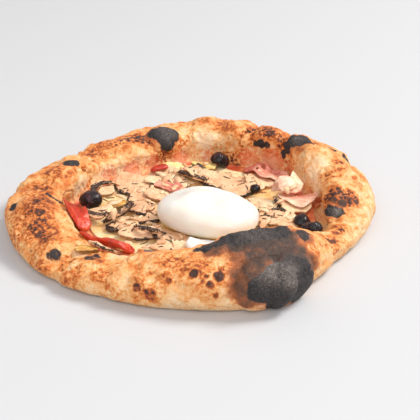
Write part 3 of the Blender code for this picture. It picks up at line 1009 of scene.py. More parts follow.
MARKS: dict[Bake, tuple[Mark, ...]] = {
    Bake.CHAR: (
        # the bubble that burnt at the back, and the burnt folds to its right
        (106.5, 2.42, 12, 1.3), (101.5, 2.5, 8, 1.2), (111, 2.3, 8, 1.1), (106, 2.68, 8, 1.0),
        (57.5, 2.76, 3.6, 0.7), (54.5, 2.72, 5, 0.9), (51.5, 2.72, 3.6, 0.7), (38.5, 2.3, 8, 1.2),
        (35, 2.2, 8, 1.2), (32, 2.1, 5, 0.9), (40.5, 2.6, 6, 1.0), (42.5, 2.88, 4.5, 0.85),
        (163.5, 2.1, 5.5, 1.0), (161, 2.2, 5, 0.9),
        *line(2.0, 0.6, (128, 2.05), (121, 2.1), (114, 2.15)),
        *line(2.2, 0.6, (27, 1.95), (23, 1.85)),
        *line(2.8, 0.8, (20.5, 1.65), (18.5, 1.45), (16.5, 1.42)),
        # small burnt spots on the left
        *line(1.5, 0.72, (-170.5, 2.15), (-168.5, 2.28), (-167, 2.49), (-166.5, 2.7)),
        (-166, 1.52, 4.6, 0.8), (-136.5, 1.68, 5, 0.72), (-136.8, 1.58, 4, 0.6),
        (-126.4, 2.05, 4.6, 0.75), (-125.6, 1.88, 4.6, 0.65),
        # the right
        (-12.2, 2.5, 5, 1.0), (-13.2, 2.25, 5.5, 1.0), (-14, 2.0, 5.5, 1.0), (-48, 1.8, 7, 0.75),
        # the front: a burnt spot, the burnt ridge, and the big ash-grey bubble
        (-106.5, 2.35, 5.5, 0.9), (-107.5, 2.6, 4.5, 0.9), (-87, 2.25, 4, 0.75),
        (-83.5, 2.2, 7, 0.85), (-78.5, 2.18, 9, 0.9), (-73, 2.14, 11, 0.92), (-67, 2.12, 12, 0.95),
        (-61, 2.1, 13, 0.95), (-55, 2.05, 12, 0.92), (-70.5, 1.1, 12, 1.4), (-66.5, 1.12, 17, 1.4),
        (-60.5, 1.08, 18.5, 1.4), (-57, 0.85, 15, 1.4), (-65, 0.75, 13, 1.3),
    ),
    Bake.ASH: (
        # grey on what burnt most
        (-68, 1.25, 13, 0.45), (-63, 1.2, 13, 0.42), (-66, 1.4, 8, 0.5), (-65, 2.1, 20, 0.2),
        (-107, 2.5, 9, 0.4), (-13.5, 2.1, 6, 0.45), (36, 2.3, 9, 0.3), (104, 2.4, 12, 0.3),
    ),
    Bake.SMOKE: (
        # smoky brown round the burnt places
        (-80, 2.05, 14, 0.8), (-72, 2.0, 19, 1.05), (-64, 1.95, 21, 1.15), (-56, 1.9, 19, 1.05),
        (-73, 1.7, 16, 0.7), (-64, 1.68, 18, 0.9), (-67, 1.1, 26, 0.8), (-60, 1.0, 26, 0.8),
        (-47, 1.75, 12, 0.55), (-75, 1.3, 14, 0.75), (106, 2.4, 20, 0.4), (36, 2.3, 16, 0.5),
        (-13, 2.3, 11, 0.4), (163, 2.1, 9, 0.35), (55, 2.7, 10, 0.4), (-106, 2.3, 12, 0.4),
        (-126, 2.0, 9, 0.35), (-136.6, 1.6, 8, 0.3), (-55, 1.5, 17, 0.95), (-71.5, 1.45, 15, 0.95),
        (-62, 1.5, 18, 1.1), (-76, 1.15, 13, 0.85), (-74, 0.85, 9, 0.75), (-69, 1.6, 15, 1.0),
        (-52, 1.2, 14, 0.8),
    ),
    Bake.DOT: (
        # small dark dots
        (-88.6, 1.53, 3.4, 1.0), (-81.6, 1.41, 4.2, 1.0), (-84.1, 1.29, 3.2, 0.9),
        (-82.6, 1.08, 2.4, 0.7), (-85.1, 1.44, 2.0, 0.7), (-86.1, 1.35, 1.8, 0.6),
        (-80.6, 1.53, 2.0, 0.6), (-96, 1.44, 2.8, 0.6), (-105, 1.23, 3.6, 0.6),
        (-101, 1.08, 5.5, 0.5), (-27, 1.75, 3.2, 0.5), (-24.5, 1.68, 3.0, 0.5),
        (-33, 1.62, 4.0, 0.45), (-20.5, 1.45, 2.6, 0.5), (-30.5, 1.55, 2.6, 0.5),
        (4.5, 1.82, 3.2, 0.5), (-9.5, 2.0, 4.2, 0.5), (-7.5, 1.74, 2.6, 0.5),
        (1.5, 1.65, 2.0, 0.4), (-175, 2.1, 3.0, 0.45), (-156, 1.92, 3.4, 0.4),
        (-147, 1.72, 3.6, 0.4), (167, 2.5, 2.8, 0.5), (164, 2.62, 2.2, 0.4),
        (-127, 1.45, 2.4, 0.35), (98, 2.2, 2.2, 0.4),
    ),
    Bake.BROWN: (
        # brown patches: most browned in the oven, some of them painted shade
        (-6.5, 2.3, 9, 0.36), (-8, 2.05, 10, 0.4), (-7, 1.8, 8, 0.3), (-18, 2.5, 7, 0.28),
        (-175, 2.0, 11, 0.24), (-165, 1.98, 13, 0.22), (-156, 1.9, 13, 0.25),
        (-149, 1.82, 12, 0.26), (92, 3.05, 12, 0.16), (76, 3.15, 12, 0.18), (60, 3.05, 10, 0.18),
        (38, 3.05, 11, 0.22), (110, 3.05, 10, 0.18), (124, 3.15, 9, 0.12), (-84, 1.4, 13, 0.1),
        # (-152, 1.2), (-139, 1.1), (-126, 1.0) and (-112, 0.9) are partly browned dough and partly painted
        # shade low on the front left
        (-95, 1.6, 14, 0.1), (-152, 1.2, 16, 0.14), (-139, 1.1, 14, 0.16), (-126, 1.0, 13, 0.16),
        (-112, 0.9, 13, 0.14), (-143, 1.8, 9, 0.26), (-158, 1.4, 18, 0.12), (-76, 1.45, 11, 0.3),
        (-75.5, 1.1, 11, 0.35), (57, 2.4, 13, 0.22), (52, 2.2, 9, 0.28), (61, 2.15, 8, 0.28),
        (67, 3.5, 10, 0.4), (116, 2.35, 9, 0.3), (106.5, 2.95, 10, 0.3), (97, 2.7, 7, 0.2),
        (-33, 1.5, 11, 0.2), (146, 2.0, 11, 0.22), (134, 2.0, 12, 0.25), (122, 2.05, 10, 0.28),
        # (14, 3.6) and (5, 3.4) are painted shade in the crease where the inner wall meets the toppings
        (15.5, 1.95, 7, 0.32), (14, 3.6, 8, 0.35), (5, 3.4, 8, 0.35), (-48, 1.6, 14, 0.3),
        (-124, 1.9, 9, 0.2), (-101, 1.2, 15, 0.13), (-88, 1.7, 11, 0.15), (-118, 1.5, 8, 0.14),
        (-96, 2.0, 12, 0.14), (-130.5, 1.75, 4, 0.22), (45, 2.5, 7, 0.25), (30, 2.05, 8, 0.3),
        (88, 2.0, 9, 0.14), (75, 2.1, 10, 0.18), (-24, 1.75, 9, 0.16), (172, 2.0, 9, 0.22),
        (180, 1.9, 8, 0.18),
    ),
    Bake.PALE: (
        # patches that stayed pale
        (165, 2.95, 13, 0.3), (142, 2.9, 13, 0.16), (126, 2.9, 12, 0.1), (87, 2.6, 14, 0.24),
        (79, 2.8, 11, 0.22), (18, 2.6, 14, 0.24), (14, 3.0, 10, 0.14), (2, 2.2, 9, 0.26),
        (5, 1.9, 8, 0.18), (0, 1.4, 14, 0.12), (-10, 1.3, 16, 0.1), (-20, 1.2, 16, 0.1),
        (-150, 2.55, 10, 0.26), (-158, 2.8, 9, 0.2), (-134, 2.25, 9, 0.3), (-131.7, 1.98, 5, 0.26),
        (-128.5, 1.6, 6, 0.24), (-120, 2.4, 11, 0.26), (-92, 0.8, 16, 0.1), (-94, 2.3, 10, 0.14),
        (28, 2.6, 9, 0.2), (-19, 2.2, 8, 0.2), (-28, 2.1, 9, 0.16), (96, 2.3, 8, 0.16),
        (-112, 2.0, 9, 0.12),
    ),
    Bake.STAIN: (
        # dough that the sauce stained
        (163, 3.4, 8, 0.5), (145, 3.3, 11, 0.75), (130, 3.3, 11, 0.9), (115, 3.3, 11, 0.8),
        (97, 3.35, 12, 0.8), (82, 3.4, 11, 0.7), (175, 3.4, 7, 0.5), (8, 3.5, 9, 0.9),
        (-4, 3.4, 11, 0.6), (-157, 3.4, 8, 0.5), (48, 3.2, 14, 0.95), (-150, 3.5, 8, 0.5),
        (36, 3.3, 11, 0.7), (22, 3.4, 9, 0.6), (60, 3.3, 12, 0.9), (16, 3.5, 8, 0.8),
    ),
    Bake.FOLD: (
        # folds and cracks that browned along their edges
        *line(2.4, 0.9, (165.5, 2.1), (162, 2.3), (158.5, 2.6), (157.5, 3.05), (161.5, 3.5), (169, 3.65)),
        *line(2.2, 1.0, (64, 3.05), (65.5, 2.75), (64.4, 2.5), (62, 2.2), (59, 2.05)),
        *line(2.0, 0.8, (47.5, 2.1), (46.5, 2.4), (46, 2.8), (47, 3.1)),
        *line(2.6, 1.0, (13, 3.05), (11, 2.7), (8.5, 2.4), (9.5, 2.15), (11, 1.95)),
        *line(1.8, 0.7, (7.5, 2.75), (5.5, 2.4), (6, 2.1)),
        *line(2.4, 1.0, (-8, 2.85), (-6.5, 2.7), (-4.5, 2.5), (-4, 2.2), (-4, 1.95)),
        *line(1.6, 0.6, (24, 3.0), (22, 2.75), (21.5, 2.5)),
        *line(1.8, 0.6, (178.5, 2.15), (176, 2.3), (174, 2.5)),
        *line(1.6, 0.5, (-176, 2.3), (-173, 2.4), (-171, 2.6)),
        *line(2.2, 0.8, (-136, 2.4), (-134.5, 2.05), (-133.5, 1.7), (-131, 1.4)),
        *line(2.0, 0.7, (-129.5, 2.35), (-129, 2.0), (-127.5, 1.65), (-125, 1.4)),
        *line(1.8, 0.5, (-116, 2.3), (-117, 1.9), (-115.5, 1.5)),
        *line(1.8, 0.6, (-19, 1.35), (-15, 1.3), (-11, 1.35)),
        *line(1.6, 0.6, (150, 2.9), (149, 2.5), (150.5, 2.15)),
        *line(1.8, 0.7, (133, 2.15), (127, 2.2), (119, 2.2)),
        *line(1.6, 0.5, (93, 2.75), (92, 2.4), (90, 2.1)),
    ),
}


@dataclass
class Crust:
    """The baked base and its rim."""

    bulge: float = 9.0  # how far the side swells past the line where it meets the table
    belly_share: float = 0.42
    fullness: float = 0.86
    wall_share: float = 0.5
    foot_width: float = 9.0
    floor: float = 4.5
    floor_swell: float = 0.7
    crease: float = 1.3
    segments: int = 720
    ring_counts: tuple[int, ...] = (22, 44, 38, 15)  # rings from each place across to the next
    plain_segments: int = 104  # the plain solid's own counts, from which its middle is known
    plain_ring_counts: tuple[int, ...] = (5, 6, 6, 5)
    under_rings: tuple[float, ...] = (0.1, 0.35, 0.65, 0.9)  # shares of the foot's radius
    floor_rings: tuple[float, ...] = (0.93, 0.82, 0.6, 0.36, 0.14)  # shares of the floor's
    blisters: int = 340
    blister_size: tuple[float, float] = (2.5, 7.5)
    blister_height: tuple[float, float] = (0.25, 1.1)
    roughness: float = 0.35
    fold_depth: float = 1.3
    base_toast: float = 0.41  # 0 is pale dough and 1 is nearly black
    crest_toast: float = 0.1  # how much darker the crest bakes
    shade_toast: float = 0.1  # how much paler the inner wall and the foot stay
    dot_toast: float = 0.56
    fold_brown: float = 0.34
    least_ash: float = 0.1
    seed: int = 11
    skin: np.ndarray | None = None  # the rim's points by ring and direction, once made
    lines: np.ndarray | None = None  # where its rings are

    def station(self, turn: float) -> Station:
        """The rim's measures in one direction, by a smooth curve through the stations.

        Args:
            turn: The direction in radians.

        Returns:
            The measures there.
        """
        count = len(STATIONS)
        place = turn / math.tau * count
        first = math.floor(place)
        u = place - first
        before, start, end, after = (STATIONS[(first + k) % count] for k in (-1, 0, 1, 2))
        values = []
        for a, b, c, d in zip(before, start, end, after):
            into, out = (c - a) / 2, (d - b) / 2
            rise = (3 * (c - b) - 2 * into - out) * u**2 + (2 * (b - c) + into + out) * u**3
            values.append(b + into * u + rise)
        return Station(*values)

    def section(self, station: Station, place: float) -> tuple[float, float]:
        """The rim's skin at one place across it.

        Args:
            station: The rim's measures there.
            place: 0 at the foot, 2 on the crest, 4 where the floor starts.

        Returns:
            Radius and height.
        """
        outer = station.foot + self.bulge
        belly = station.height * self.belly_share
        wall = self.floor + (station.height - self.floor) * self.wall_share
        turn = (place % 1 if place < 4 else 1) * math.pi / 2
        sine, cosine = math.sin(turn), max(math.cos(turn), 0.0)
        if place < 1:
            return station.foot + (outer - station.foot) * sine, belly * (1 - cosine)
        if place < 2:
            radius = station.crest + (outer - station.crest) * cosine**self.fullness
            return radius, belly + (station.height - belly) * sine**self.fullness
        if place < 3:
            radius = station.crest + (station.inner - station.crest) * sine**self.fullness
            return radius, wall + (station.height - wall) * cosine**self.fullness
        return station.inner - self.foot_width * (1 - cosine), wall + (self.floor - wall) * sine

    def at(self, angle: float, place: float) -> np.ndarray:
        """The point of the plain rim at an angle in degrees and a place across it.

        Args:
            angle: Degrees from the right.
            place: 0 to 4.

        Returns:
            The point.
        """
        turn = math.radians(angle)
        radius, height = self.section(self.station(turn), place)
        return np.array([radius * math.cos(turn), radius * math.sin(turn), height])

    def on_skin(self, angle: float, place: float) -> np.ndarray:
        """The point of the made rim at an angle in degrees and a place across it.

        Args:
            angle: Degrees from the right.
            place: 0 to 4.

        Returns:
            The point.
        """
        step = round(angle / 360 * self.segments) % self.segments
        return self.skin[np.argmin(np.abs(self.lines - place)), step]

    def rings(self, places: np.ndarray, segments: int) -> np.ndarray:
        """The rim's skin with its bubbles and creases.

        Args:
            places: Where its rings are, 0 to 4.
            segments: How many points each has.

        Returns:
            The points, by ring and direction.
        """
        turns = np.arange(segments) * math.tau / segments
        stations = [self.station(turn) for turn in turns]
        flat = np.array([[self.section(station, place) for station in stations] for place in places])
        radius, height = flat[..., 0], flat[..., 1]
        rings = np.stack([radius * np.cos(turns), radius * np.sin(turns), height], -1)
        outward = self.facing(rings)
        push = np.zeros(radius.shape)
        for bubble in BUBBLES:
            away = np.linalg.norm(rings - self.at(bubble.angle, bubble.place), axis=-1)
            push += bubble.height * np.clip(1 - (away / bubble.radius) ** 2, 0, 1) ** bubble.edge
        on_rim = np.clip(places, 0, 1) * np.clip((4 - places) / 1.5, 0, 1)
        for groove in GROOVES:
            apart = np.abs((np.degrees(turns) - groove.angle + 180) % 360 - 180) / groove.width
            push -= groove.depth * np.exp(-(apart**2)) * on_rim[:, None]
        for index in np.ndindex(push.shape):
            x, y, z = rings[index]
            rough = self.wobble(x, y, 17, 3.1 + z / 23) + 0.5 * self.wobble(x, y, 8, 7.7 + z / 11)
            push[index] += self.crease * rough * on_rim[index[0]]
        rings += outward * push[..., None]
        rings[..., 2] = np.maximum(rings[..., 2], 0.0)
        return rings

    @staticmethod
    def facing(rings: np.ndarray) -> np.ndarray:
        """The direction that each point of the rim faces.

        Args:
            rings: The points, by ring and direction.

        Returns:
            Unit vectors, one a point.
        """
        along = np.roll(rings, -1, 1) - np.roll(rings, 1, 1)
        outward = np.cross(along, np.gradient(rings, axis=0))
        return outward / np.maximum(np.linalg.norm(outward, axis=-1, keepdims=True), 1e-9)

    @staticmethod
    def places(counts: tuple[int, ...]) -> np.ndarray:
        """Where the rings are across the rim.

        Args:
            counts: How many there are from each whole place to the next.

        Returns:
            Their places, 0 to 4.
        """
        steps = [np.linspace(k, k + 1, count)[1:] for k, count in enumerate(counts)]
        return np.concatenate([[0.0], *steps])

    @staticmethod
    def wobble(x: float, y: float, size: float, seed: float) -> float:
        """Smooth noise on the plan, with hills about as wide as size."""
        return noise.noise(Vector((x / size + seed, y / size - seed, seed * 1.7)))

    def middle(self) -> np.ndarray:
        """How far the plain solid was moved to centre it.

        Returns:
            The move in millimetres.
        """
        plain = self.rings(self.places(self.plain_ring_counts), self.plain_segments).reshape(-1, 3)
        centre = (plain.max(0) + plain.min(0)) / 2
        return np.array([-centre[0], -centre[1], 0.0])

    def rough_up(self, rings: np.ndarray, places: np.ndarray) -> np.ndarray:
        """Adds blisters, pleats and a coarse skin.

        Args:
            rings: The rim's points.
            places: Where its rings are.

        Returns:
            How far each point was pushed out.
        """
        draw = np.random.default_rng(self.seed)
        self.skin, self.lines = rings.copy(), places
        outward = self.facing(rings)
        push = np.zeros(rings.shape[:2])
        for _ in range(self.blisters):
            ring = np.searchsorted(places, draw.uniform(1.0, 2.95))
            centre = rings[min(ring, len(places) - 1), draw.integers(rings.shape[1])]
            radius = draw.uniform(*self.blister_size)
            height = draw.uniform(*self.blister_height)
            away = np.linalg.norm(rings - centre, axis=-1) / radius
            push += height * np.clip(1 - away**2, 0, 1) ** 1.3
        upper = np.clip(places - 0.2, 0, 1) * np.clip((4 - places) / 0.8, 0, 1)
        skin = 0.6 * waves(rings, 9, 3, 2) + 0.35 * waves(rings, 3.2, 4, 2)
        pleats = 1 - np.abs(waves(rings * (1, 1, 0.45), 11, 8, 2))
        push += upper[:, None] * (skin + self.roughness - 1.2 * soft_step(pleats, 0.86, 1.0))
        push -= self.fold_depth * self.field(rings.reshape(-1, 3), Bake.FOLD).reshape(push.shape)
        rings += outward * push[..., None]
        rings[..., 2] = np.maximum(rings[..., 2], 0.0)
        self.skin = rings
        return push

    def field(self, points: np.ndarray, kind: Bake) -> np.ndarray:
        """How strongly one kind of mark shows at each point.

        Args:
            points: The rim's points.
            kind: The kind of mark.

        Returns:
            From 0 up.
        """
        total = np.zeros(len(points))
        uneven = 0.0 if kind in SHARP else 0.1 * waves(points, 5, 21, 2) + 0.08 * waves(points, 15, 22)
        edge = CRISP_EDGE if kind in CRISP else SOFT_EDGE
        for angle, place, radius, strength in MARKS[kind]:
            away = np.linalg.norm(points - self.on_skin(angle, place), axis=-1)
            near = strength * soft_step(away / radius + uneven, *edge)
            total = total + near if kind in SUMMED else np.maximum(total, near)
        return np.minimum(total, MOST_SUMMED) if kind in SUMMED else total

    def build(self) -> bpy.types.Object:
        """Makes the crust.

        Returns:
            The piece.
        """
        places = self.places(self.ring_counts)
        rim = self.rings(places, self.segments)
        push = self.rough_up(rim, places)
        under = [rim[0] * (share, share, 0) for share in self.under_rings]
        over = []
        for share in self.floor_rings:
            ring = rim[-1] * (share, share, 1)
            swell = [self.floor_swell * self.wobble(x, y, 30, 9.5) for x, y in ring[:, :2]]
            ring[:, 2] = self.floor + np.array(swell)
            over.append(ring)
        points, faces = quad_shell(np.array([*under, *rim, *over]))
        mesh = mesh_of("crust_skin", points, faces)
        extra = [np.zeros((len(under), self.segments)), push, np.zeros((len(over), self.segments))]
        raised = np.append(np.concatenate(extra).ravel(), (0, 0))
        where = np.concatenate([np.zeros(len(under)), places, np.full(len(over), 4.0)])
        across = np.append(np.repeat(where, self.segments), (0.0, 4.0))
        self.write_bake(mesh, points, across, raised)
        move_points(mesh, points + self.middle())
        piece = show("crust_skin", mesh, Slot.CRUST)
        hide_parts("crust")
        return piece

    def write_bake(
        self, mesh: bpy.types.Mesh, points: np.ndarray, across: np.ndarray, raised: np.ndarray
    ) -> None:
        """Stores how each point is baked, with the painted shade that some brown marks carry.

        Args:
            mesh: The crust's mesh.
            points: Its points.
            across: Their places across the rim.
            raised: How far blisters push them out.
        """
        toast = self.base_toast + 0.07 * waves(points, 34, 1, 2) + 0.09 * waves(points, 11, 2, 3)
        toast += 0.06 * np.clip(raised, -1, 1.5)
        toast += self.crest_toast * soft_step(across, 1.3, 2.0) * soft_step(across, 2.9, 2.3)
        toast -= self.shade_toast * (soft_step(across, 2.5, 3.1) + soft_step(across, 1.0, 0.3))
        toast -= self.field(points, Bake.PALE)
        turn = np.degrees(np.arctan2(points[:, 1], points[:, 0]))
        left = soft_step(np.abs((turn + 165 + 180) % 360 - 180), 40, 10)
        right = soft_step(np.abs(turn), 50, 15)
        toast += 0.03 * left + 0.02 * right
        toast = np.where(across < 0.05, 0.5 + 0.15 * waves(points, 15, 6, 3), toast)
        brown = self.field(points, Bake.BROWN) + self.fold_brown * self.field(points, Bake.FOLD)
        side = soft_step(across, 0.6, 1.4) * soft_step(across, 3.4, 2.6)
        patchy = soft_step(waves(points, 26, 14, 2), -0.3, 0.5)
        write_masks(
            mesh,
            toast=toast + self.dot_toast * self.field(points, Bake.DOT),
            brown=brown,
            char=self.field(points, Bake.CHAR),
            ash=self.least_ash + self.field(points, Bake.ASH),
            stain=self.field(points, Bake.STAIN),
            smoke=self.field(points, Bake.SMOKE),
            speckle=side * np.clip(patchy + 0.8 * left, 0, 1),
        )


# the toppings


@dataclass
class Layer:
    """A poured or melted layer over the base."""

    node: str
    slot: Slot
    tint: float
    swell: float
    seed: int

    def build(self) -> bpy.types.Object:
        """Makes the layer.

        Returns:
            The piece.
        """
        mesh = halved(self.node, 2)
        points = points_of(mesh)
        facing = normals_of(mesh)
        lift = self.swell * np.maximum(waves(points, 12, self.seed, 3), -0.3)
        points[:, 2] += np.where(facing[:, 2] > 0.2, lift, 0.0)
        move_points(mesh, points)
        tint = self.tint + 0.25 * waves(points, 20, self.seed + 1, 3)
        write_masks(mesh, tint=tint, skin=np.zeros(len(points)), grain=points)
        piece = show(self.node + "_melt", mesh, self.slot)
        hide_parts(self.node)
        return piece


@dataclass
class Topping:
    """A piece laid on the pizza, made from its plain solid."""

    node: str
    slot: Slot
    tint: float = 0.4
    voxel: float = 0.7
    smoothing: int = 5
    warp: float = 0.9
    warp_size: float = 6.0

    @property
    def number(self) -> int:
        """A number of its own, for its share of chance."""
        return sum(ord(letter) * (k + 3) for k, letter in enumerate(self.node))

    def build(self) -> bpy.types.Object:
        """Makes the piece.

        Returns:
            It.
        """
        mesh = finer_copy(self.node, self.voxel, self.smoothing)
        points = points_of(mesh)
        lay = Lay(points)
        self.shape(points, lay)
        move_points(mesh, points)
        self.colour(mesh, points, lay)
        piece = show(self.node + "_fine", mesh, self.slot)
        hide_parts(self.node)
        return piece

    def shape(self, points: np.ndarray, lay: Lay) -> None:
        """Bends the plain outline to an uneven one, in place.

        Args:
            points: The piece's points.
            lay: How it lies.
        """
        sideways = [waves(points, self.warp_size, self.number % 97 + k, 2) for k in (0, 1)]
        here = lay.local(points)
        far = soft_step(np.hypot(here[:, 0] / lay.half[0], here[:, 1] / lay.half[1]), 0.3, 0.9)
        for push, way in zip(sideways, (lay.along, lay.across)):
            points += (self.warp * push * far)[:, None] * way
        points += (0.25 * waves(points, 3.5, self.number % 89, 2))[:, None] * lay.up

    def tints(self, points: np.ndarray, lay: Lay) -> np.ndarray:
        """How dark the flesh is at each point."""
        return self.tint + 0.2 * waves(points, 14, self.number % 83, 2)

    def colour(self, mesh: bpy.types.Mesh, points: np.ndarray, lay: Lay) -> None:
        """Stores the masks that the material reads.

        Args:
            mesh: The piece's mesh.
            points: Its points.
            lay: How it lies.
        """
        # skin marks each piece's sides; on mushrooms it is partly real skin and partly painted shade
        edge = soft_step(np.abs(normals_of(mesh) @ lay.up), 0.75, 0.3)
        write_masks(mesh, tint=self.tints(points, lay), skin=edge, grain=lay.local(points))


@dataclass
class MushroomSlice(Topping):
    """A flat slice of mushroom with gills along one side."""

    slot: Slot = Slot.MUSHROOM
    gill_side: float = 270.0  # degrees, seen from above
    gill_width: float = 0.3  # share of the way in from the edge
    gill_spread: float = 60.0  # degrees to each side
    gill_fade: float = 0.06  # share of the way in over which they end
    spread_fade: float = 12.0  # degrees over which they end

    def colour(self, mesh: bpy.types.Mesh, points: np.ndarray, lay: Lay) -> None:
        """Stores the masks, with dark gills on one side.

        Args:
            mesh: The piece's mesh.
            points: Its points.
            lay: How it lies.
        """
        super().colour(mesh, points, lay)
        away = points - lay.middle
        turn = np.degrees(np.arctan2(away[:, 1], away[:, 0]))
        apart = np.abs((turn - self.gill_side + 180) % 360 - 180)
        _, out = lay.outward(points)
        ragged = 0.12 * waves(points, 4, self.number % 79, 2)
        start, spread = 1 - self.gill_width, self.gill_spread
        band = soft_step(out + ragged, start - self.gill_fade, start + self.gill_fade)
        side = soft_step(apart, spread + self.spread_fade, spread - self.spread_fade)
        write_mask(mesh, "gill", band * side)


@dataclass
class MushroomEdge(Topping):
    """A slice on its edge, which shows its dark gills between two pale lips."""

    slot: Slot = Slot.MUSHROOM
    tint: float = 0.4
    voxel: float = 0.55
    rib: float = 1.9  # from one gill to the next
    rib_height: float = 0.3

    def shape(self, points: np.ndarray, lay: Lay) -> None:
        """Cuts gills across the strip, in place.

        Args:
            points: The piece's points.
            lay: How it lies.
        """
        super().shape(points, lay)
        here = lay.local(points)
        ribs = np.sin(here[:, 0] * math.tau / self.rib + 2 * waves(points, 5, 3))
        points += (self.rib_height * ribs)[:, None] * lay.up

    def colour(self, mesh: bpy.types.Mesh, points: np.ndarray, lay: Lay) -> None:
        """Stores the masks, with a dark middle.

        Args:
            mesh: The piece's mesh.
            points: Its points.
            lay: How it lies.
        """
        super().colour(mesh, points, lay)
        here = lay.local(points)
        aside = np.abs(here[:, 1]) / lay.half[1] + 0.25 * waves(points, 4, 9, 2)
        write_mask(mesh, "gill", 0.1 + 0.8 * soft_step(aside, 0.85, 0.35))


@dataclass
class HamSlice(Topping):
    """A thin slice of ham, pale with fat towards one end."""

    slot: Slot = Slot.HAM
    voxel: float = 0.55
    smoothing: int = 40
    fat_side: float = 0.0  # degrees, seen from above
    fat: float = 0.35

    def tints(self, points: np.ndarray, lay: Lay) -> np.ndarray:
        """How dark the meat is at each point, paler towards the fat.

        Args:
            points: The piece's points.
            lay: How it lies.

        Returns:
            From 0, pale, to 1, dark.
        """
        turn = math.radians(self.fat_side)
        away = points - lay.middle
        ahead = (away[:, 0] * math.cos(turn) + away[:, 1] * math.sin(turn)) / lay.half[0]
        return self.tint - self.fat * np.clip(ahead, -1, 1) + 0.2 * waves(points, 9, 4, 2)


@dataclass
class Olive(Topping):
    """A wrinkled black olive."""

    slot: Slot = Slot.OLIVE
    voxel: float = 0.5
    smoothing: int = 8
    warp: float = 0.0
    wrinkle: float = 0.35

    def shape(self, points: np.ndarray, lay: Lay) -> None:
        """Wrinkles the skin, in place.

        Args:
            points: The piece's points.
            lay: How it lies.
        """
        outward = points - points.mean(0)
        outward /= np.linalg.norm(outward, axis=1, keepdims=True)
        folds = 1 - np.abs(waves(points, 5.5, self.number % 71, 2))
        depth = self.wrinkle * (0.5 - soft_step(folds, 0.6, 1.0))
        points += depth[:, None] * outward


@dataclass
class Burrata:
    """The ball of fresh cheese."""

    node: str = "burrata"
    dimple: float = 1.7
    crease: float = 1.7
    crease_reach: tuple[float, float] = (26, 8)  # where it ends and where it is full, each way
    crease_curve: float = 0.012
    crease_place: float = 0.3  # share of the way back from the middle

    def build(self) -> bpy.types.Object:
        """Makes the ball.

        Returns:
            The piece.
        """
        mesh = halved(self.node, 3)
        points = points_of(mesh)
        low, high = points.min(0), points.max(0)
        up = (points[:, 2] - low[2]) / (high[2] - low[2])
        lay = Lay(points)
        along, across, _ = lay.local(points).T
        bend = across - self.crease_curve * along**2 - self.crease_place * lay.half[1]
        groove, lip = np.exp(-((bend / 2.2) ** 2)), np.exp(-(((bend - 4) / 3) ** 2))
        fold = (groove - 0.6 * lip) * soft_step(np.abs(along), *self.crease_reach)
        push = (self.dimple * waves(points, 24, 5, 2) - self.crease * fold) * soft_step(up, 0.1, 0.5)
        points += normals_of(mesh) * push[:, None]
        points[:, 2] = np.maximum(points[:, 2], low[2])
        move_points(mesh, points)
        # paler and warmer towards the bottom, greyer on top: painted bounce light low on the ball and painted
        # shade on its top, besides a real yellowish oily base
        tint = 0.08 + 0.75 * soft_step(up, 0.42, 0.0)
        write_masks(mesh, tint=tint, skin=np.zeros(len(points)), grain=points)
        piece = show("burrata_ball", mesh, Slot.BURRATA)
        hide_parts(self.node)
        return piece


# slices of mushroom that lie flat: tint, side of the gills in degrees, width of the gills
SLICES = {
    1: (0.45, 250, 0.1), 2: (0.3, 230, 0.1), 3: (0.35, 120, 0.18), 4: (0.3, 300, 0.12),
    5: (0.35, 20, 0.1), 6: (0.1, 250, 0.11), 7: (0.2, 90, 0.21), 8: (0.35, 200, 0.1),
    9: (0.25, 60, 0.18), 10: (0.15, 300, 0.12), 11: (0.2, 200, 0.15), 12: (0.35, 170, 0.18),
    13: (0.5, 200, 0.36), 14: (0.3, 250, 0.21), 15: (0.4, 280, 0.15), 16: (0.5, 200, 0.3),
    17: (0.3, 300, 0.12), 18: (0.4, 240, 0.21), 19: (0.3, 270, 0.18), 20: (0.3, 300, 0.15),
    21: (0.1, 270, 0.1), 22: (0.4, 260, 0.18), 28: (0.35, 90, 0.12),
}
# slices on their edges
EDGES = (23, 24, 25, 26, 27)
# slices of ham: tint, side of the fat in degrees, how fat
HAM = ((0.75, 180, 0.2), (0.7, -60, 0.3), (0.5, 240, 0.35), (0.16, 90, 0.2))
# the tint of each piece
ARTICHOKES = (0.7, 0.15, 0.2, 0.55)
TOMATOES = (0.45, 0.45, 0.5)
OLIVES = 5


class Heap(NamedTuple):
    """Where small bits gather."""

    x: float
    y: float
    reach: float
    count: int


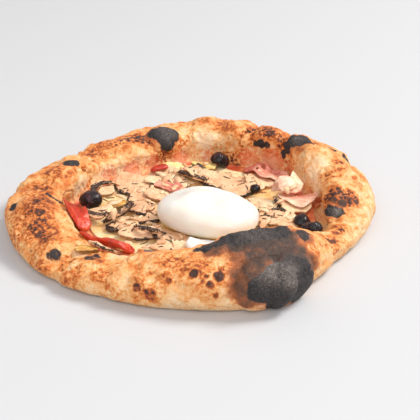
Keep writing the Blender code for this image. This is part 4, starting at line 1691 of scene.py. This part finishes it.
@dataclass
class Scatter:
    """Small bits that lie over the toppings."""

    name: str
    slot: Slot
    heaps: tuple[Heap, ...]
    length: tuple[float, float]
    width: tuple[float, float]
    thickness: float
    tint: float
    gill: float
    seed: int
    steps: int = 6
    sides: int = 6
    tint_spread: float = 0.25

    def build(self, ground: BVHTree, ceiling: float) -> bpy.types.Object:
        """Makes the bits as one mesh.

        Args:
            ground: Everything that they may lie on.
            ceiling: The greatest height at which one may lie.

        Returns:
            The piece.
        """
        draw = np.random.default_rng(self.seed)
        points, faces, tints, grains = [], [], [], []
        for heap in self.heaps:
            for _ in range(heap.count):
                turn, away = draw.uniform(0, math.tau), heap.reach * math.sqrt(draw.uniform())
                x, y = heap.x + away * math.cos(turn), heap.y + away * math.sin(turn)
                hit, normal, _, _ = ground.ray_cast(Vector((x, y, 100)), Vector((0, 0, -1)))
                facing, length = draw.uniform(0, math.tau), draw.uniform(*self.length)
                width, bend = draw.uniform(*self.width), draw.uniform(-0.5, 0.5)
                if hit is None or hit.z > ceiling:
                    continue
                bit = self.bit(length, width, bend, draw)
                lie = Vector((0, 0, 1)).rotation_difference(normal)
                spun = Quaternion((0, 0, 1), facing)
                turned = np.array([lie @ (spun @ Vector(p)) for p in bit]) + np.array(hit)
                start = sum(map(len, points))
                points.append(turned)
                grains.append(bit)
                tints += [self.tint + draw.uniform(-self.tint_spread, self.tint_spread)] * len(bit)
                faces += self.faces(start)
        together = np.concatenate(points)
        mesh = mesh_of(self.name, together, faces)
        gill, skin = np.full(len(together), self.gill), np.zeros(len(together))
        write_masks(mesh, tint=np.array(tints), skin=skin, gill=gill, grain=np.concatenate(grains))
        return show(self.name, mesh, self.slot)

    def bit(self, length: float, width: float, bend: float, draw: np.random.Generator) -> np.ndarray:
        """One bent, tapered bit lying along X.

        Args:
            length: How long it is.
            width: How wide.
            bend: How far it curves.
            draw: Where its chance comes from.

        Returns:
            Its points.
        """
        rings = []
        around = (np.arange(self.sides) + 0.5) * math.tau / self.sides
        for share in np.linspace(0, 1, self.steps):
            fill = math.sqrt(max(1 - (2 * share - 1) ** 4, 0.06)) * draw.uniform(0.75, 1.15)
            x = length * (share - 0.5)
            y = bend * length * 0.3 * (1 - (2 * share - 1) ** 2) + np.cos(around) * width / 2 * fill
            z = self.thickness * (0.35 + 0.5 * np.sin(around)) * fill
            rings.append(np.column_stack([np.full(self.sides, x), y, z]))
        return np.concatenate(rings)

    def faces(self, start: int) -> list:
        """The faces of one bit.

        Args:
            start: The number of its first point.

        Returns:
            Corner numbers.
        """
        index = start + np.arange(self.steps * self.sides).reshape(self.steps, self.sides)
        after = np.roll(index, -1, 1)
        sides = np.stack([index[:-1], index[1:], after[1:], after[:-1]], -1).reshape(-1, 4)
        return [*sides.tolist(), index[0].tolist(), index[-1][::-1].tolist()]


def ground_of(pieces: list[bpy.types.Object]) -> BVHTree:
    """What small bits may lie on.

    Args:
        pieces: The pieces that carry them.

    Returns:
        Their faces in millimetres.
    """
    points, faces, start = [], [], 0
    for piece in pieces:
        here = points_of(piece.data)
        points += [Vector(p) for p in here]
        faces += [[start + v for v in face.vertices] for face in piece.data.polygons]
        start += len(here)
    return BVHTree.FromPolygons(points, faces)


@dataclass
class Studio:
    """The pale floor, the soft light and the camera."""

    floor_size: float = 6.0
    distance: float = 0.8
    elevation: float = 28.55
    roll: float = 1.97
    lens: float = 80.69
    aside: float = 0.01385
    target: tuple[float, float, float] = (0.00007, 0.00181, 0.008)

    def build(self) -> None:
        """Adds floor, lights, sky and camera."""
        self.floor()
        self.sky()
        self.lamp("key", (2.1, 0.7, 2.7), 1.3, 103.0, (1.0, 0.98, 0.95))
        self.lamp("fill", (-0.2, -1.5, 1.3), 1.6, 17.0, (1.0, 0.99, 0.98))
        self.lamp("window", (0.5, 0.1, 1.4), 0.16, 1.6, (1.0, 1.0, 1.0))
        self.camera()

    def floor(self) -> None:
        """Adds the floor."""
        half = self.floor_size / 2
        mesh = bpy.data.meshes.new("floor")
        corners = [(-half, -half, 0), (half, -half, 0), (half, half, 0), (-half, half, 0)]
        mesh.from_pydata(corners, [], [(0, 1, 2, 3)])
        made = bpy.data.materials.new("floor")
        made.use_nodes = True
        shader = made.node_tree.nodes["Principled BSDF"]
        shader.inputs["Base Color"].default_value = tone(199, 199, 200)
        shader.inputs["Roughness"].default_value = 0.8
        mesh.materials.append(made)
        plane = bpy.data.objects.new("floor", mesh)
        plane.location.z = -0.0002
        bpy.context.scene.collection.objects.link(plane)

    def sky(self) -> None:
        """Adds an even pale light from all round."""
        world = bpy.data.worlds.new("studio")
        world.use_nodes = True
        background = world.node_tree.nodes["Background"]
        background.inputs["Color"].default_value = (0.96, 0.97, 1.0, 1.0)
        background.inputs["Strength"].default_value = 0.58
        bpy.context.scene.world = world
        bpy.context.scene.view_settings.view_transform = "Standard"

    def lamp(
        self,
        name: str,
        place: tuple[float, float, float],
        size: float,
        power: float,
        colour: tuple[float, float, float],
    ) -> None:
        """Adds a soft lamp that faces the pizza.

        Args:
            name: The lamp's name.
            place: Where it is, in metres.
            size: How wide it is, in metres.
            power: Its power in watts.
            colour: The colour of its light.
        """
        light = bpy.data.lights.new(name, "AREA")
        light.shape = "DISK"
        light.size = size
        light.energy = power
        light.color = colour
        lamp = bpy.data.objects.new(name, light)
        lamp.location = place
        lamp.rotation_mode = "QUATERNION"
        lamp.rotation_quaternion = (-Vector(place)).to_track_quat("-Z", "Y")
        bpy.context.scene.collection.objects.link(lamp)

    def camera(self) -> None:
        """Adds the camera at the picture's own angle."""
        lift = math.radians(self.elevation)
        target = Vector(self.target)
        place = target + self.distance * Vector((0, -math.cos(lift), math.sin(lift)))
        ahead = target + Vector((self.aside, 0, 0)) - place
        made = bpy.data.cameras.new("camera")
        made.lens = self.lens
        made.sensor_width = 36.0
        camera = bpy.data.objects.new("camera", made)
        camera.location = place
        camera.rotation_mode = "QUATERNION"
        roll = Quaternion((0, 0, 1), math.radians(self.roll))
        camera.rotation_quaternion = ahead.to_track_quat("-Z", "Y") @ roll
        bpy.context.scene.collection.objects.link(camera)
        bpy.context.scene.camera = camera


def toppings() -> list[bpy.types.Object]:
    """Makes every topping.

    Returns:
        The pieces that small bits may lie on.
    """
    made = [
        Layer("tomato_sauce", Slot.SAUCE, 0.45, 0.5, 41).build(),
        Layer("melted_cheese", Slot.CHEESE, 0.3, 1.0, 43).build(),
    ]
    for number, (tint, side, width) in SLICES.items():
        node = f"mushroom_{number:02d}"
        made.append(MushroomSlice(node, tint=tint, gill_side=side, gill_width=width).build())
    for number in EDGES:
        made.append(MushroomEdge(f"mushroom_{number:02d}").build())
    for number, tint in enumerate(ARTICHOKES, 1):
        made.append(Topping(f"artichoke_{number:02d}", Slot.ARTICHOKE, tint).build())
    for number, (tint, side, fat) in enumerate(HAM, 1):
        made.append(HamSlice(f"ham_{number:02d}", tint=tint, fat_side=side, fat=fat).build())
    for number, tint in enumerate(TOMATOES, 1):
        made.append(Topping(f"tomato_{number:02d}", Slot.TOMATO, tint, smoothing=8, warp=0.7).build())
    made.append(Topping("mozzarella", Slot.BURRATA, 0.1, smoothing=10).build())
    for number in range(1, OLIVES + 1):
        Olive(f"olive_{number:02d}").build()
    return made


SHREDS = tuple(
    Heap(*row)
    for row in (
        (-48, -12, 18, 20), (-52, -36, 16, 22), (-28, -50, 14, 14), (-70, -20, 9, 8),
        (-4, 50, 16, 12), (50, 40, 15, 12), (62, -8, 13, 20), (58, -26, 10, 12),
        (-74, 22, 12, 10), (-40, 30, 22, 14), (20, 60, 20, 8), (-20, -74, 12, 10),
    )
)
CHIPS = tuple(
    Heap(*row)
    for row in (
        (-45, 0, 30, 22), (-50, -36, 22, 14), (10, 56, 34, 14), (64, 20, 26, 14),
        (66, -16, 18, 12), (-20, 44, 26, 10), (-24, -60, 20, 10),
    )
)


MUSHROOM_CHIPS = Scatter(
    "mushroom_chips",
    Slot.MUSHROOM,
    CHIPS,
    length=(7, 14),
    width=(3, 7.5),
    thickness=1.6,
    tint=0.3,
    gill=0.0,
    seed=5,
)
GILL_SHREDS = Scatter(
    "gill_shreds",
    Slot.MUSHROOM,
    SHREDS,
    length=(3, 9),
    width=(0.5, 1.3),
    thickness=0.9,
    tint=0.4,
    gill=0.85,
    seed=6,
)
BITS_CEILING = 30.0  # the highest ground that a bit may lie on, in millimetres


def main() -> None:
    """Builds the pizza and its studio."""
    logging.basicConfig(level=logging.INFO, format="%(message)s")
    Studio().build()
    crust = Crust().build()
    laid = toppings()
    Burrata().build()
    ground = ground_of([crust, *laid])
    for bits in (MUSHROOM_CHIPS, GILL_SHREDS):
        bits.build(ground, BITS_CEILING)


if __name__ == "__main__":
    main()
